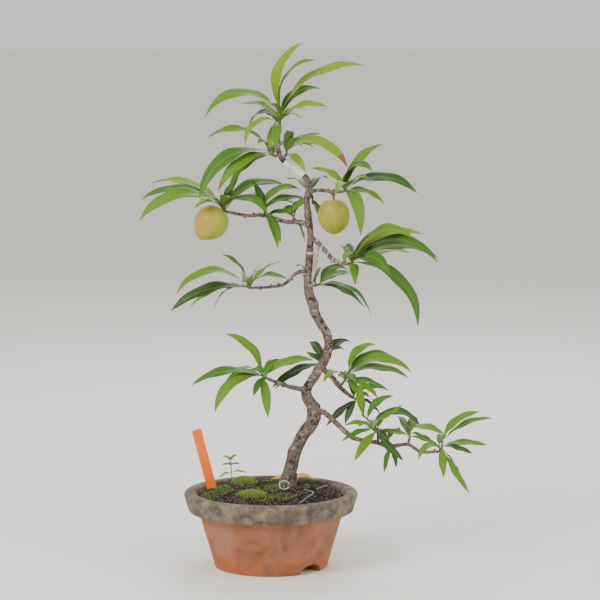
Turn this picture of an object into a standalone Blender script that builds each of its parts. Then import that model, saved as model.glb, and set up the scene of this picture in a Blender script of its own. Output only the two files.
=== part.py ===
"""A Japanese plum bonsai in a round clay training pot, with its soil, moss and label.

Units are metres and +Z is up. The origin is the middle of the pot's flat underside, +X runs to
the viewer's right and +Y away from the viewer. Trunk, boughs and twigs are tapering tubes on
smooth curves. Each mass of foliage is one solid: a stem, short spurs that leave it by a seeded
rule, and the leaves that both carry, fused together.
"""
import math
import random

import bmesh
import bpy
import numpy as np
from mathutils import Matrix, Vector

# Clearance between pieces that touch, and the distance within which a curve's caps are welded.
GAP = 0.0003
WELD_DISTANCE = 0.000001

# Pot: a plain training pot with a heavy rim band.
POT_HEIGHT = 0.091
RIM_RADIUS = 0.105
RIM_BAND_HEIGHT = 0.0235
RIM_BAND_FOOT_RADIUS = 0.100
RIM_WIDTH = 0.015
RIM_ROUNDING = 0.0045
SHOULDER_RADIUS = 0.0875
BASE_RADIUS = 0.0685
BASE_ROUNDING = 0.0015
FLOOR_THICKNESS = 0.016
FLOOR_RADIUS = 0.054
FLOOR_ROUNDING = 0.006
TURNED_STEPS = 36
NOTCH_HALF_WIDTH = 0.017
NOTCH_HEIGHT = 0.011
NOTCH_INNER_RADIUS = 0.030
NOTCH_DIRECTIONS = (-45.0, 165.0, 60.0)
DRAIN_RADIUS = 0.007
DRAIN_DISTANCE = 0.040

# Soil: low at the wall, level round the trunk's foot.
SOIL_LEVEL = 0.0907
SOIL_PLATEAU_RADIUS = 0.050
SOIL_SHOULDER = ((0.068, 0.0892), (0.080, 0.0864))
SOIL_WALL_LEVEL = 0.0840
SOIL_SIDE_GAP = 0.00045

# Moss cushions: middle x, y, then half-width in x, half-width in y and height above the soil.
MOSS = {
    "moss_front": (-0.023, -0.026, 0.021, 0.024, 0.0055),
    "moss_left": (-0.057, 0.002, 0.012, 0.024, 0.0060),
    "moss_back": (-0.034, 0.052, 0.018, 0.017, 0.0090),
}
MOSS_SINK = 0.003

# Plant label: a plain strip pushed into the soil at the left.
LABEL_WIDTH = 0.012
LABEL_THICKNESS = 0.0012
LABEL_LENGTH = 0.080
LABEL_SINK = 0.004
LABEL_FOOT = (-0.0725, 0.036)
LABEL_LEAN = 14.5

# Trunk: x, y, z and radius of the points that its curve runs through.
TRUNK = (
    (0.0195, 0.025, 0.084, 0.0112),
    (0.0200, 0.025, 0.093, 0.0098),
    (0.0265, 0.024, 0.124, 0.0080),
    (0.0365, 0.022, 0.151, 0.0080),
    (0.0505, 0.020, 0.173, 0.0084),
    (0.0510, 0.019, 0.188, 0.0078),
    (0.0425, 0.017, 0.209, 0.0063),
    (0.0550, 0.015, 0.232, 0.0058),
    (0.0675, 0.013, 0.254, 0.0054),
    (0.0685, 0.012, 0.277, 0.0054),
    (0.0560, 0.011, 0.301, 0.0055),
    (0.0470, 0.009, 0.328, 0.0060),
    (0.0450, 0.008, 0.350, 0.0052),
    (0.0465, 0.008, 0.376, 0.0046),
    (0.0475, 0.007, 0.400, 0.0039),
    (0.0450, 0.006, 0.424, 0.0043),
    (0.0430, 0.005, 0.442, 0.0037),
    (0.0455, 0.005, 0.456, 0.0040),
    (0.0440, 0.0045, 0.4665, 0.0040),
    (0.0395, 0.0040, 0.4720, 0.0040),
)

# White wrap round the graft, between the trunk's top and the leader.
SLEEVE_START = (0.0390, 0.0040, 0.4724)
SLEEVE_END = (0.0165, 0.0010, 0.4895)
SLEEVE_RADIUS = 0.0058
SLEEVE_END_RADIUS = 0.0044

# Boughs: the points that each runs through. The first lies inside the trunk, which is cut clear.
BOUGHS = {
    "bough_right_low": (
        (0.0510, 0.018, 0.184, 0.0038), (0.0640, 0.010, 0.185, 0.0034), (0.0800, 0.003, 0.172, 0.0031),
        (0.1000, -0.003, 0.156, 0.0030), (0.1280, -0.009, 0.151, 0.0025), (0.1430, -0.012, 0.147, 0.0028),
        (0.1640, -0.014, 0.150, 0.0021), (0.1800, -0.020, 0.142, 0.0020), (0.1990, -0.025, 0.143, 0.0017)),
    "bough_right_back": (
        (0.0600, 0.0145, 0.240, 0.0034), (0.0740, 0.0170, 0.227, 0.0030), (0.0830, 0.0180, 0.215, 0.0028),
        (0.0965, 0.0190, 0.2035, 0.0023)),
    "bough_left_low": (
        (0.0435, 0.017, 0.211, 0.0032), (0.0290, 0.010, 0.215, 0.0028), (0.0130, 0.000, 0.221, 0.0024),
        (-0.0060, -0.010, 0.230, 0.0019)),
    "bough_left_mid": (
        (0.0460, 0.008, 0.358, 0.0028), (0.0310, 0.003, 0.355, 0.0022), (0.0160, 0.000, 0.342, 0.0020),
        (0.0000, -0.002, 0.339, 0.0018), (-0.0230, -0.005, 0.338, 0.0016)),
    "bough_left_upper": (
        (0.0460, 0.006, 0.412, 0.0032), (0.0360, 0.005, 0.416, 0.0028), (0.0170, 0.006, 0.417, 0.0027),
        (-0.0070, 0.007, 0.424, 0.0023), (-0.0280, 0.007, 0.424, 0.0021), (-0.0500, 0.006, 0.428, 0.0019)),
    "bough_right_top": (
        (0.0450, 0.005, 0.453, 0.0026), (0.0600, -0.001, 0.455, 0.0022), (0.0750, -0.006, 0.453, 0.0021),
        (0.0850, -0.009, 0.454, 0.0019)),
    "bough_right_mid": (
        (0.0470, 0.007, 0.398, 0.0030), (0.0600, -0.001, 0.389, 0.0026), (0.0720, -0.007, 0.375, 0.0028),
        (0.0820, -0.011, 0.369, 0.0025), (0.0930, -0.015, 0.368, 0.0021)),
}
LEADER_START_RADIUS = 0.0034

# What the boughs are cut back by: the cutter has flat sides, which lie a little inside the round.
TRUNK_SIDE_GAP = 0.00042
LEADER = ((0.0108, 0.0010, 0.4972, 0.0030), (0.0088, 0.0010, 0.5080, 0.0026), (0.0100, 0.0010, 0.5240, 0.0021))

# Dead wood that hugs the trunk's right side.
DEAD_STUB = ((0.0555, 0.001, 0.387, 0.0026), (0.0545, 0.000, 0.372, 0.0027), (0.0515, 0.000, 0.356, 0.0020),
             (0.0495, 0.001, 0.345, 0.0010))

# Wires that lie on the soil.
TIE_WIRES = {
    "tie_wire_front": ((0.034, -0.070), (0.044, -0.047), (0.051, -0.021), (0.040, -0.003)),
    "tie_wire_back": ((0.055, 0.000), (0.063, 0.022), (0.068, 0.046), (0.067, 0.056)),
}
TIE_WIRE_RADIUS = 0.0012

# Fallen leaf on the soil behind the trunk.
FALLEN_LEAF_ROOT = (0.058, 0.058)

# Leaves. Width is a fixed part and a share of the length, and stations are shares of the length.
LEAF_WIDTH_FIXED = 0.0050
LEAF_WIDTH_SHARE = 0.120
LEAF_KEEL = 0.016
LEAF_STATIONS = (0.125, 0.333, 0.583, 0.833)
LEAF_STEPS = 24
PETIOLE = 0.05
PETIOLE_RADIUS = 0.0007
SEED = 11

# How far the test points of a leaf keep from limbs and from other masses' leaves.
LIMB_CLEARANCE = 0.0012
LEAF_CLEARANCE = 0.0034
OWN_CLEARANCE = 0.0022
HEADING_TRIES = (0, 8, -8, 16, -16, 24, -24)

# Cross rows by the stalk that are not tested, and the points by the stalk that leaves may share.
UNTESTED_ROWS = 3
SHARED_POINTS = 40

# Fruit: middle, direction of the pointed end, half-width, half-length and the point's length.
FRUITS = {
    "foliage_left_upper": ((-0.0705, -0.004, 0.4165), (-0.62, -0.22, -0.75), 0.0203, 0.0215, 0.0035),
    "foliage_fruit_right": ((0.0755, -0.0065, 0.4250), (0.02, -0.05, -1.0), 0.0190, 0.0215, 0.0010),
}
FRUIT_STALK_RADIUS = 0.0013
FRUIT_RINGS = 8


def fan(count, heading, rise, arch, length, roll=(40, 40)):
    """Leaves that open like a fan: every size runs evenly from its first to its last value."""
    return {"count": count, "heading": heading, "rise": rise, "arch": arch, "length": length, "roll": roll}


# Masses of foliage: the limb that carries the stem, how far along it, the stem's far end, the
# count of spurs, and the fans. Headings are seen from above: 0 right, 90 back, 180 left, 270 front.
MASSES = {
    "foliage_apex": ("leader", 1.0, (0.013, 0.000, 0.553), 2, (
        fan(2, (20, -25), (118, 108), (93, 109), (0.094, 0.090), (25, 40)),
        fan(1, (-12, -12), (68, 68), (76, 76), (0.124, 0.124), (45, 45)),
        fan(2, (40, -35), (70, 42), (84, 60), (0.072, 0.066)),
        fan(2, (195, 155), (69, 54), (135, 75), (0.114, 0.064), (45, 30)),
        fan(3, (140, 255), (55, 15), (150, 110), (0.070, 0.054), (30, 20)))),
    "foliage_apex_left": ("leader", 0.42, (-0.005, 0.002, 0.511), 1, (
        fan(1, (190, 190), (53, 53), (93, 93), (0.080, 0.080)),
        fan(2, (130, 50), (100, 80), (25, 35), (0.045, 0.038), (60, 60)),
        fan(2, (205, 218), (16, 4), (90, 68), (0.120, 0.090)),
        fan(2, (182, 192), (-12, 8), (45, 80), (0.062, 0.052)))),
    "foliage_apex_right": ("leader", 0.20, (0.0172, 0.001, 0.5066), 2, (
        fan(2, (-20, 15), (35, 50), (102, 55), (0.092, 0.050), (50, 30)),
        fan(2, (300, 310), (95, -4), (20, 60), (0.026, 0.038), (10, 50)))),
    "foliage_left_upper": ("bough_left_upper", 1.0, (-0.061, 0.001, 0.440), 2, (
        fan(3, (200, 155), (36, 49), (93, 66), (0.112, 0.100), (45, 30)),
        fan(2, (30, -30), (63, 48), (5, 31), (0.046, 0.057)),
        fan(1, (30, 30), (56, 56), (85, 85), (0.104, 0.104)),
        fan(2, (300, 320), (100, 58), (60, 120), (0.036, 0.076)))),
    "foliage_left_upper_inner": ("bough_left_upper", 0.60, (-0.010, 0.005, 0.433), 1, (
        fan(2, (20, 35), (75, 36), (105, 52), (0.063, 0.062)),
        fan(1, (150, 150), (82, 82), (35, 35), (0.038, 0.038)),
        fan(2, (305, 300), (-30, -20), (50, 50), (0.054, 0.052), (20, 20)))),
    "foliage_left_upper_spur": ("bough_left_upper", 0.27, (0.023, 0.012, 0.426), 1, (
        fan(4, (30, 150), (55, 35), (50, 70), (0.040, 0.036)),
        fan(1, (60, 60), (-35, -35), (40, 40), (0.040, 0.040)))),
    "foliage_right_top": ("bough_right_top", 1.0, (0.090, -0.010, 0.456), 2, (
        fan(1, (150, 150), (62, 62), (66, 66), (0.054, 0.054)),
        fan(2, (10, -45), (83, 105), (65, 150), (0.075, 0.068)),
        fan(2, (-15, 20), (44, 13), (90, 62), (0.096, 0.056)),
        fan(1, (290, 290), (14, 14), (115, 115), (0.084, 0.084), (15, 15)))),
    "foliage_trunk_top": ("trunk", 0.868, (0.0500, 0.0140, 0.4370), 1, (
        fan(2, (48, 66), (-14, -38), (45, 30), (0.054, 0.046), (30, 20)),)),
    "foliage_fruit_right": ("bough_right_top", 0.74, (0.0745, -0.0065, 0.4485), 0, ()),
    "foliage_right_mid": ("bough_right_mid", 1.0, (0.098, -0.016, 0.377), 2, (
        fan(1, (208, 208), (105, 105), (110, 110), (0.086, 0.086)),
        fan(3, (-38, 45), (69, 46), (101, 50), (0.104, 0.088), (50, 30)),
        fan(3, (0, 48), (55, 19), (110, 36), (0.118, 0.116), (45, 30)),
        fan(2, (-55, -15), (30, 6), (73, 98), (0.093, 0.124), (50, 45)),
        fan(2, (280, 230), (0, 67), (60, 52), (0.046, 0.037), (10, 40)))),
    "foliage_right_spur": ("trunk", 0.600, (0.060, 0.010, 0.342), 1, (
        fan(2, (30, 50), (81, 31), (128, 47), (0.052, 0.064)),
        fan(2, (10, 25), (13, 0), (87, 50), (0.086, 0.075)))),
    "foliage_left_mid": ("bough_left_mid", 1.0, (-0.029, -0.005, 0.340), 2, (
        fan(2, (195, 210), (53, 86), (115, 70), (0.102, 0.055)),
        fan(1, (325, 325), (68, 68), (26, 26), (0.034, 0.034)),
        fan(3, (172, 135), (10, 8), (55, 60), (0.102, 0.078), (45, 30)))),
    "foliage_left_low": ("bough_left_low", 1.0, (-0.011, -0.013, 0.234), 2, (
        fan(1, (170, 170), (87, 87), (80, 80), (0.072, 0.072)),
        fan(2, (180, 200), (22, 12), (59, 91), (0.089, 0.081)),
        fan(1, (150, 150), (20, 20), (76, 76), (0.070, 0.070)),
        fan(2, (290, 240), (-60, -30), (15, 10), (0.051, 0.034), (10, 20)),
        fan(2, (25, 50), (40, 62), (55, 66), (0.074, 0.038)))),
    "foliage_trunk_back": ("trunk", 0.385, (0.062, 0.028, 0.243), 1, (
        fan(2, (193, 168), (-5, -14), (38, 31), (0.070, 0.068)),
        fan(2, (10, 35), (95, 85), (120, 130), (0.052, 0.045)),
        fan(1, (150, 150), (31, 31), (20, 20), (0.030, 0.030)))),
    "foliage_right_back": ("bough_right_back", 0.72, (0.095, 0.018, 0.237), 2, (
        fan(3, (28, 15), (88, 26), (100, 62), (0.054, 0.080), (30, 40)),
        fan(1, (-5, -5), (56, 56), (104, 104), (0.089, 0.089)),
        fan(3, (15, -50), (-5, 0), (28, 74), (0.056, 0.040), (30, 20)))),
    "foliage_right_back_tip": ("bough_right_back", 1.0, (0.106, 0.020, 0.200), 1, (
        fan(2, (190, 215), (-30, -50), (20, 20), (0.050, 0.034)),
        fan(2, (60, 10), (20, -5), (60, 60), (0.048, 0.044)))),
    "foliage_low_inner": ("bough_right_low", 0.47, (0.109, -0.015, 0.187), 2, (
        fan(2, (150, 30), (64, 75), (-40, 80), (0.044, 0.048)),
        fan(2, (-25, 20), (14, 53), (-30, 122), (0.048, 0.075)),
        fan(3, (170, 230), (24, -27), (48, 20), (0.036, 0.052)),
        fan(1, (-40, -40), (-44, -44), (-17, -17), (0.050, 0.050)))),
    "foliage_low_mid": ("bough_right_low", 0.74, (0.163, -0.012, 0.175), 1, (
        fan(2, (0, -10), (107, 24), (57, 64), (0.046, 0.046)),
        fan(2, (30, 160), (-14, 16), (20, 19), (0.044, 0.038)))),
    "foliage_low_hanging": ("bough_right_low", 0.63, (0.146, -0.021, 0.151), 1, (
        fan(2, (222, 185), (2, -70), (89, 12), (0.060, 0.034)),
        fan(2, (320, 300), (-56, -13), (31, 61), (0.028, 0.036), (20, 20)))),
    "foliage_low_tip": ("bough_right_low", 1.0, (0.205, -0.025, 0.157), 1, (
        fan(2, (10, -10), (74, 56), (72, 55), (0.062, 0.072)),
        fan(2, (0, 30), (12, -4), (26, 25), (0.055, 0.044)),
        fan(2, (-80, 25), (-75, -47), (0, 8), (0.036, 0.042), (10, 20)),
        fan(1, (-10, -10), (-60, -60), (-6, -6), (0.063, 0.063)),
        fan(2, (160, 215), (45, 53), (44, 130), (0.040, 0.044)))),
}
STEM_RADIUS = 0.0017
SPUR_RADIUS = 0.0011
SPUR_LENGTH = 0.010
SPUR_LEAVES = 2
SPUR_TURN = 22
SPUR_RISE = (25, 50)
SPUR_SPREAD = (40, 70)
SPUR_LEAF_SIZES = {"rise": (28, 55), "arch": (50, 80), "length": (0.042, 0.062), "roll": (-20, 35),
                   "sweep": (-15, 15)}
STEM_TOP_SHARE = 0.93
STEM_FOOT = 0.0012

# Colours as the surfaces look from a step away: base colour, roughness and metallic value.
FINISHES = {
    "pot": ((0.36, 0.13, 0.065), 0.9, 0.0),
    "soil": ((0.035, 0.025, 0.020), 1.0, 0.0),
    "moss": ((0.12, 0.20, 0.03), 1.0, 0.0),
    "label": ((0.95, 0.19, 0.02), 0.45, 0.0),
    "bark": ((0.17, 0.11, 0.085), 0.85, 0.0),
    "dead wood": ((0.45, 0.38, 0.30), 0.9, 0.0),
    "wrap": ((0.80, 0.79, 0.74), 0.6, 0.0),
    "wire": ((0.35, 0.38, 0.42), 0.4, 0.8),
    "leaf": ((0.13, 0.30, 0.04), 0.45, 0.0),
    "old leaf": ((0.65, 0.33, 0.08), 0.6, 0.0),
}


def clear_scene():
    for item in list(bpy.data.objects):
        bpy.data.objects.remove(item, do_unlink=True)


def new_collection(name):
    collection = bpy.data.collections.new(name)
    bpy.context.scene.collection.children.link(collection)
    return collection


def finish(item, finish_name):
    """Give an object its own Principled material."""
    colour, roughness, metallic = FINISHES[finish_name]
    material = bpy.data.materials.new(f"{item.name} {finish_name}")
    material.use_nodes = True
    shader = material.node_tree.nodes["Principled BSDF"]
    shader.inputs["Base Color"].default_value = (*colour, 1.0)
    shader.inputs["Roughness"].default_value = roughness
    shader.inputs["Metallic"].default_value = metallic
    item.data.materials.clear()
    item.data.materials.append(material)


def add_object(name, data, collection):
    item = bpy.data.objects.new(name, data)
    collection.objects.link(item)
    return item


def mesh_object(name, vertices, faces, collection):
    mesh = bpy.data.meshes.new(name)
    mesh.from_pydata([tuple(v) for v in vertices], [], faces)
    mesh.update()
    return add_object(name, mesh, collection)


def take_primitive(name, collection):
    """Name the primitive that was just added and move it to its collection."""
    item = bpy.context.object
    item.name = name
    for owner in list(item.users_collection):
        owner.objects.unlink(item)
    collection.objects.link(item)
    return item


def as_mesh(item, weld=True):
    """Turn an object into the plain mesh that it evaluates to, with a curve's caps welded on."""
    bpy.context.view_layer.update()
    evaluated = item.evaluated_get(bpy.context.evaluated_depsgraph_get())
    mesh = bpy.data.meshes.new_from_object(evaluated)
    if weld:
        solid = bmesh.new()
        solid.from_mesh(mesh)
        bmesh.ops.remove_doubles(solid, verts=solid.verts, dist=WELD_DISTANCE)
        bmesh.ops.recalc_face_normals(solid, faces=solid.faces)
        solid.to_mesh(mesh)
        solid.free()
    name = item.name
    place = item.matrix_world.copy()
    owner = item.users_collection[0]
    bpy.data.objects.remove(item, do_unlink=True)
    result = add_object(name, mesh, owner)
    result.matrix_world = place
    return result


def boolean(item, cutter, operation="DIFFERENCE"):
    modifier = item.modifiers.new(operation.title(), "BOOLEAN")
    modifier.operation = operation
    modifier.solver = "EXACT"
    modifier.object = cutter
    cutter.hide_render = True
    cutter.display_type = "WIRE"


def arc(centre, radius, start, end, steps):
    """Points of a profile's round corner, from one angle to another in degrees."""
    angles = [math.radians(start + (end - start) * i / steps) for i in range(steps + 1)]
    return [(centre[0] + radius * math.cos(a), centre[1] + radius * math.sin(a)) for a in angles]


def turned(name, profile, collection, steps=TURNED_STEPS):
    """Turn a profile of radius and height about +Z. The profile runs down its outer side."""
    mesh = bpy.data.meshes.new(name)
    edges = [(i, i + 1) for i in range(len(profile) - 1)]
    mesh.from_pydata([(radius, 0.0, height) for radius, height in profile], edges, [])
    item = add_object(name, mesh, collection)
    screw = item.modifiers.new("Screw", "SCREW")
    screw.axis = "Z"
    screw.angle = math.tau
    screw.steps = steps
    screw.render_steps = steps
    screw.use_merge_vertices = True
    screw.merge_threshold = 0.00001
    screw.use_smooth_shade = True
    return item


def smooth(rows, per_span):
    """Catmull-Rom curve through rows of x, y, z and radius, with per_span samples to each span."""
    rows = np.array(rows, dtype=float)
    ends = np.vstack([2 * rows[0] - rows[1], rows, 2 * rows[-1] - rows[-2]])
    t = np.arange(per_span) / per_span
    spans = []
    for a, b, c, d in zip(ends, ends[1:], ends[2:], ends[3:]):
        bends = np.outer(t ** 2, 2 * a - 5 * b + 4 * c - d) + np.outer(t ** 3, 3 * b - a - 3 * c + d)
        spans.append(b + 0.5 * (np.outer(t, c - a) + bends))
    return np.vstack(spans + [rows[-1:]])


def tube(name, rows, collection, resolution=2):
    """A tapering tube with closed ends on a curve of x, y, z and radius."""
    curve = bpy.data.curves.new(name, "CURVE")
    curve.dimensions = "3D"
    curve.bevel_depth = 1.0
    curve.bevel_resolution = resolution
    curve.use_fill_caps = True
    spline = curve.splines.new("POLY")
    spline.points.add(len(rows) - 1)
    for point, (x, y, z, radius) in zip(spline.points, rows):
        point.co = (x, y, z, 1.0)
        point.radius = radius
    return add_object(name, curve, collection)


def direction(heading, rise):
    """Unit vector from a compass heading and a climb, both in degrees."""
    h, r = math.radians(heading), math.radians(rise)
    return np.array([math.cos(r) * math.cos(h), math.cos(r) * math.sin(h), math.sin(r)])


def blade_half_width(s):
    """Half-width of a leaf as a share of its greatest, at a share s of its length: a lance shape."""
    u = np.clip((s - PETIOLE) / (1.0 - PETIOLE), 0.0, 1.0)
    return np.sin(np.pi * u ** 0.8) ** 0.85


def leaf_lines(leaf):
    """Midline points of a leaf with its side and face directions. The midline climbs at rise and
    bends down evenly by arch, its heading turns evenly by sweep, and the blade rolls by roll
    towards the viewer, most of it in the first half."""
    s = np.linspace(0.0, 1.0, LEAF_STEPS + 1)
    rise = np.radians(leaf["rise"] - leaf["arch"] * s)
    heading = np.radians(leaf["heading"] + leaf["sweep"] * s)
    flat = np.stack([np.cos(heading), np.sin(heading), np.zeros_like(s)], 1)
    level = np.array([0.0, 0.0, 1.0])
    along = np.cos(rise)[:, None] * flat + np.sin(rise)[:, None] * level
    up = np.cos(rise)[:, None] * level - np.sin(rise)[:, None] * flat
    out = np.stack([np.sin(heading), -np.cos(heading), np.zeros_like(s)], 1)
    if out[0, 1] > 0:
        out = -out
    middles = (along[1:] + along[:-1]) / 2
    points = leaf["root"] + leaf["length"] / LEAF_STEPS * np.vstack([np.zeros(3), np.cumsum(middles, 0)])
    roll = np.radians(leaf["roll"]) * (1 - (1 - s) ** 2)
    side = np.cos(roll)[:, None] * out - np.sin(roll)[:, None] * up
    face = np.cos(roll)[:, None] * up + np.sin(roll)[:, None] * out
    return s, points, side, face


def leaf_test_points(leaf):
    """Points over the blade, outside its stalk, that stand for it in the clearance tests."""
    s, points, side, _ = leaf_lines(leaf)
    reach = blade_half_width(s) * leaf["width"] / 2
    rows = [points + side * (reach * share)[:, None] for share in (-1.0, -0.5, 0.0, 0.5, 1.0)]
    return np.stack(rows, 1)[UNTESTED_ROWS:].reshape(-1, 3)


def nearest(points, others):
    return np.sqrt(((points[:, None, :] - others[None, :, :]) ** 2).sum(2))


def is_clear(leaf, mass, placed, limb_rows, fruit_rows, with_own):
    """True where a leaf keeps clear of limbs, fruit and the leaves of other masses."""
    points = leaf_test_points(leaf)
    if (nearest(points, limb_rows[:, :3]) - limb_rows[:, 3]).min() < LIMB_CLEARANCE:
        return False
    if (nearest(points, fruit_rows[:, :3]) - fruit_rows[:, 3]).min() < LIMB_CLEARANCE:
        return False
    middle = points.mean(0)
    for other_mass, other_points, other_length in placed:
        if other_mass == mass and not with_own:
            continue
        if np.linalg.norm(other_points.mean(0) - middle) > leaf["length"] + other_length:
            continue
        limit = LEAF_CLEARANCE
        if other_mass == mass:
            limit = OWN_CLEARANCE
            other_points = other_points[SHARED_POINTS:]
        if nearest(points, other_points).min() < limit:
            return False
    return True


def stem_rows(start, leave, end, radius, tip_radius, steps=3):
    """A bent twig from start to end: a short straight foot along its first direction, so that its
    cut end stays square to it, and then a quadratic curve."""
    foot = np.array(start) + np.array(leave) * STEM_FOOT
    middle = foot + np.array(leave) * np.linalg.norm(end - foot) * 0.4
    t = np.linspace(0.0, 1.0, steps + 1)[:, None]
    points = (1 - t) ** 2 * foot + 2 * t * (1 - t) * middle + t ** 2 * np.array(end)
    rows = np.hstack([points, radius + (tip_radius - radius) * t])
    return np.vstack([[(*start, radius)], rows])


def stem_start(rows, share, end):
    """Where a stem leaves its limb, and in which direction: off the tip, or off the near side."""
    if share >= 1.0:
        tip = rows[-1]
        leave = (tip[:3] - rows[-2][:3]) / np.linalg.norm(tip[:3] - rows[-2][:3])
        return tip[:3] + leave * GAP, leave, min(tip[3], STEM_RADIUS * 1.15)
    place = rows[round(share * (len(rows) - 1))]
    after = rows[min(round(share * (len(rows) - 1)) + 1, len(rows) - 1)]
    along = (after[:3] - place[:3]) / np.linalg.norm(after[:3] - place[:3])
    reach = np.array(end) - place[:3]
    leave = reach - along * reach.dot(along)
    leave /= np.linalg.norm(leave)
    return place[:3] + leave * (place[3] + GAP), leave, STEM_RADIUS


def grow(limbs):
    """Twigs and leaves of every mass. Named fans come first, then the leaves on the spurs."""
    limb_rows = np.vstack(list(limbs.values()))
    fruit_rows = np.array([(*fruit[0], fruit[3]) for fruit in FRUITS.values()])
    rng = random.Random(SEED)
    placed = []
    masses = {name: {"twigs": [], "leaves": []} for name in MASSES}

    def try_leaf(mass, leaf, with_own):
        heading = leaf["heading"]
        leaf["width"] = (LEAF_WIDTH_FIXED + LEAF_WIDTH_SHARE * leaf["length"]) * rng.uniform(0.92, 1.1)
        for turn in HEADING_TRIES:
            leaf["heading"] = heading + turn
            if is_clear(leaf, mass, placed, limb_rows, fruit_rows, with_own):
                placed.append((mass, leaf_test_points(leaf), leaf["length"]))
                masses[mass]["leaves"].append(leaf)
                return

    for name, (limb, share, end, _, fans) in MASSES.items():
        start, leave, radius = stem_start(limbs[limb], share, end)
        stem = stem_rows(start, leave, end, radius, SPUR_RADIUS)
        masses[name]["twigs"].append(stem)
        total = sum(one["count"] for one in fans)
        number = 0
        for one in fans:
            for i in range(one["count"]):
                t = i / max(1, one["count"] - 1)
                size = {key: one[key][0] + (one[key][1] - one[key][0]) * t
                        for key in ("heading", "rise", "arch", "length", "roll")}
                root = stem_point(stem, STEM_TOP_SHARE - 0.5 * number / total)
                number += 1
                leaf = dict(size, root=root, sweep=rng.uniform(-14, 14))
                leaf["heading"] += rng.uniform(-3, 3)
                leaf["roll"] += rng.uniform(-8, 8)
                try_leaf(name, leaf, False)
    for name, (_, _, _, spurs, _) in MASSES.items():
        stem = masses[name]["twigs"][0]
        for i in range(spurs):
            heading = 90 + 180 * (i % 2) + rng.uniform(-SPUR_TURN, SPUR_TURN)
            foot = stem_point(stem, 0.45 + 0.35 * i / spurs)
            aim = direction(heading, rng.uniform(*SPUR_RISE))
            spur = stem_rows(foot, aim, foot + aim * SPUR_LENGTH, SPUR_RADIUS, SPUR_RADIUS * 0.8, 1)
            masses[name]["twigs"].append(spur)
            for k in range(SPUR_LEAVES):
                spread = rng.uniform(*SPUR_SPREAD)
                leaf = {key: rng.uniform(*reach) for key, reach in SPUR_LEAF_SIZES.items()}
                leaf["heading"] = heading + (k - 0.5) * spread
                leaf["root"] = stem_point(spur, 0.9 - 0.4 * k)
                try_leaf(name, leaf, True)
    return masses


def stem_point(rows, share):
    """The point at a share of a twig's rows."""
    place = share * (len(rows) - 1)
    low = min(int(place), len(rows) - 2)
    return rows[low, :3] + (rows[low + 1, :3] - rows[low, :3]) * (place - low)


def leaf_object(name, leaf, collection):
    """A thin closed blade: three-cornered sections with a keel below, from stalk to tip."""
    s, points, side, face = leaf_lines(leaf)
    picks = [round(station * LEAF_STEPS) for station in LEAF_STATIONS]
    keel = leaf["length"] * LEAF_KEEL
    half = np.maximum(blade_half_width(s) * leaf["width"] / 2, PETIOLE_RADIUS)
    back = points[0] - (points[1] - points[0]) / np.linalg.norm(points[1] - points[0]) * PETIOLE_RADIUS
    sections = [(back, side[0], face[0], PETIOLE_RADIUS, PETIOLE_RADIUS * 1.6)]
    sections += [(points[i], side[i], face[i], half[i], keel) for i in picks]
    vertices = []
    for centre, across, top, width, depth in sections:
        lift = top * depth * 0.5
        vertices += [centre + across * width + lift, centre - lift, centre - across * width + lift]
    vertices.append(points[-1])
    faces = [(2, 1, 0)]
    for row in range(len(sections) - 1):
        a = 3 * row
        for i in range(3):
            j = (i + 1) % 3
            faces.append((a + i, a + j, a + 3 + j, a + 3 + i))
    tip = len(vertices) - 1
    last = 3 * (len(sections) - 1)
    faces += [(last + i, last + (i + 1) % 3, tip) for i in range(3)]
    item = mesh_object(name, vertices, faces, collection)
    solid = bmesh.new()
    solid.from_mesh(item.data)
    bmesh.ops.triangulate(solid, faces=solid.faces)
    bmesh.ops.recalc_face_normals(solid, faces=solid.faces)
    solid.to_mesh(item.data)
    solid.free()
    return item


def fruit_object(name, middle, point, half_width, half_length, beak, collection):
    """A stone fruit: round, a little dimpled at the stalk, drawn out to a small point."""
    profile = []
    for i in range(FRUIT_RINGS + 1):
        angle = math.pi * i / FRUIT_RINGS
        reach = half_length * math.cos(angle) + beak * max(0.0, math.cos(angle)) ** 12
        profile.append((half_width * math.sin(angle), reach))
    profile[0] = (0.0, half_length + beak)
    profile[-1] = (0.0, -half_length * 0.97)
    item = turned(name, profile, collection, 2 * FRUIT_RINGS)
    aim = Vector(point).normalized()
    item.matrix_world = Matrix.Translation(middle) @ aim.to_track_quat("Z", "Y").to_matrix().to_4x4()
    return as_mesh(item)


def keep_largest_body(item):
    """Drop scraps that no twig holds. Faces belong together where they share an edge."""
    solid = bmesh.new()
    solid.from_mesh(item.data)
    bmesh.ops.triangulate(solid, faces=solid.faces)
    left = set(solid.faces)
    bodies = []
    while left:
        body = [left.pop()]
        for face in body:
            for edge in face.edges:
                for other in edge.link_faces:
                    if other in left:
                        left.remove(other)
                        body.append(other)
        bodies.append(body)
    bodies.sort(key=len)
    for body in bodies[:-1]:
        bmesh.ops.delete(solid, geom=body, context="FACES")
    solid.to_mesh(item.data)
    solid.free()


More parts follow.
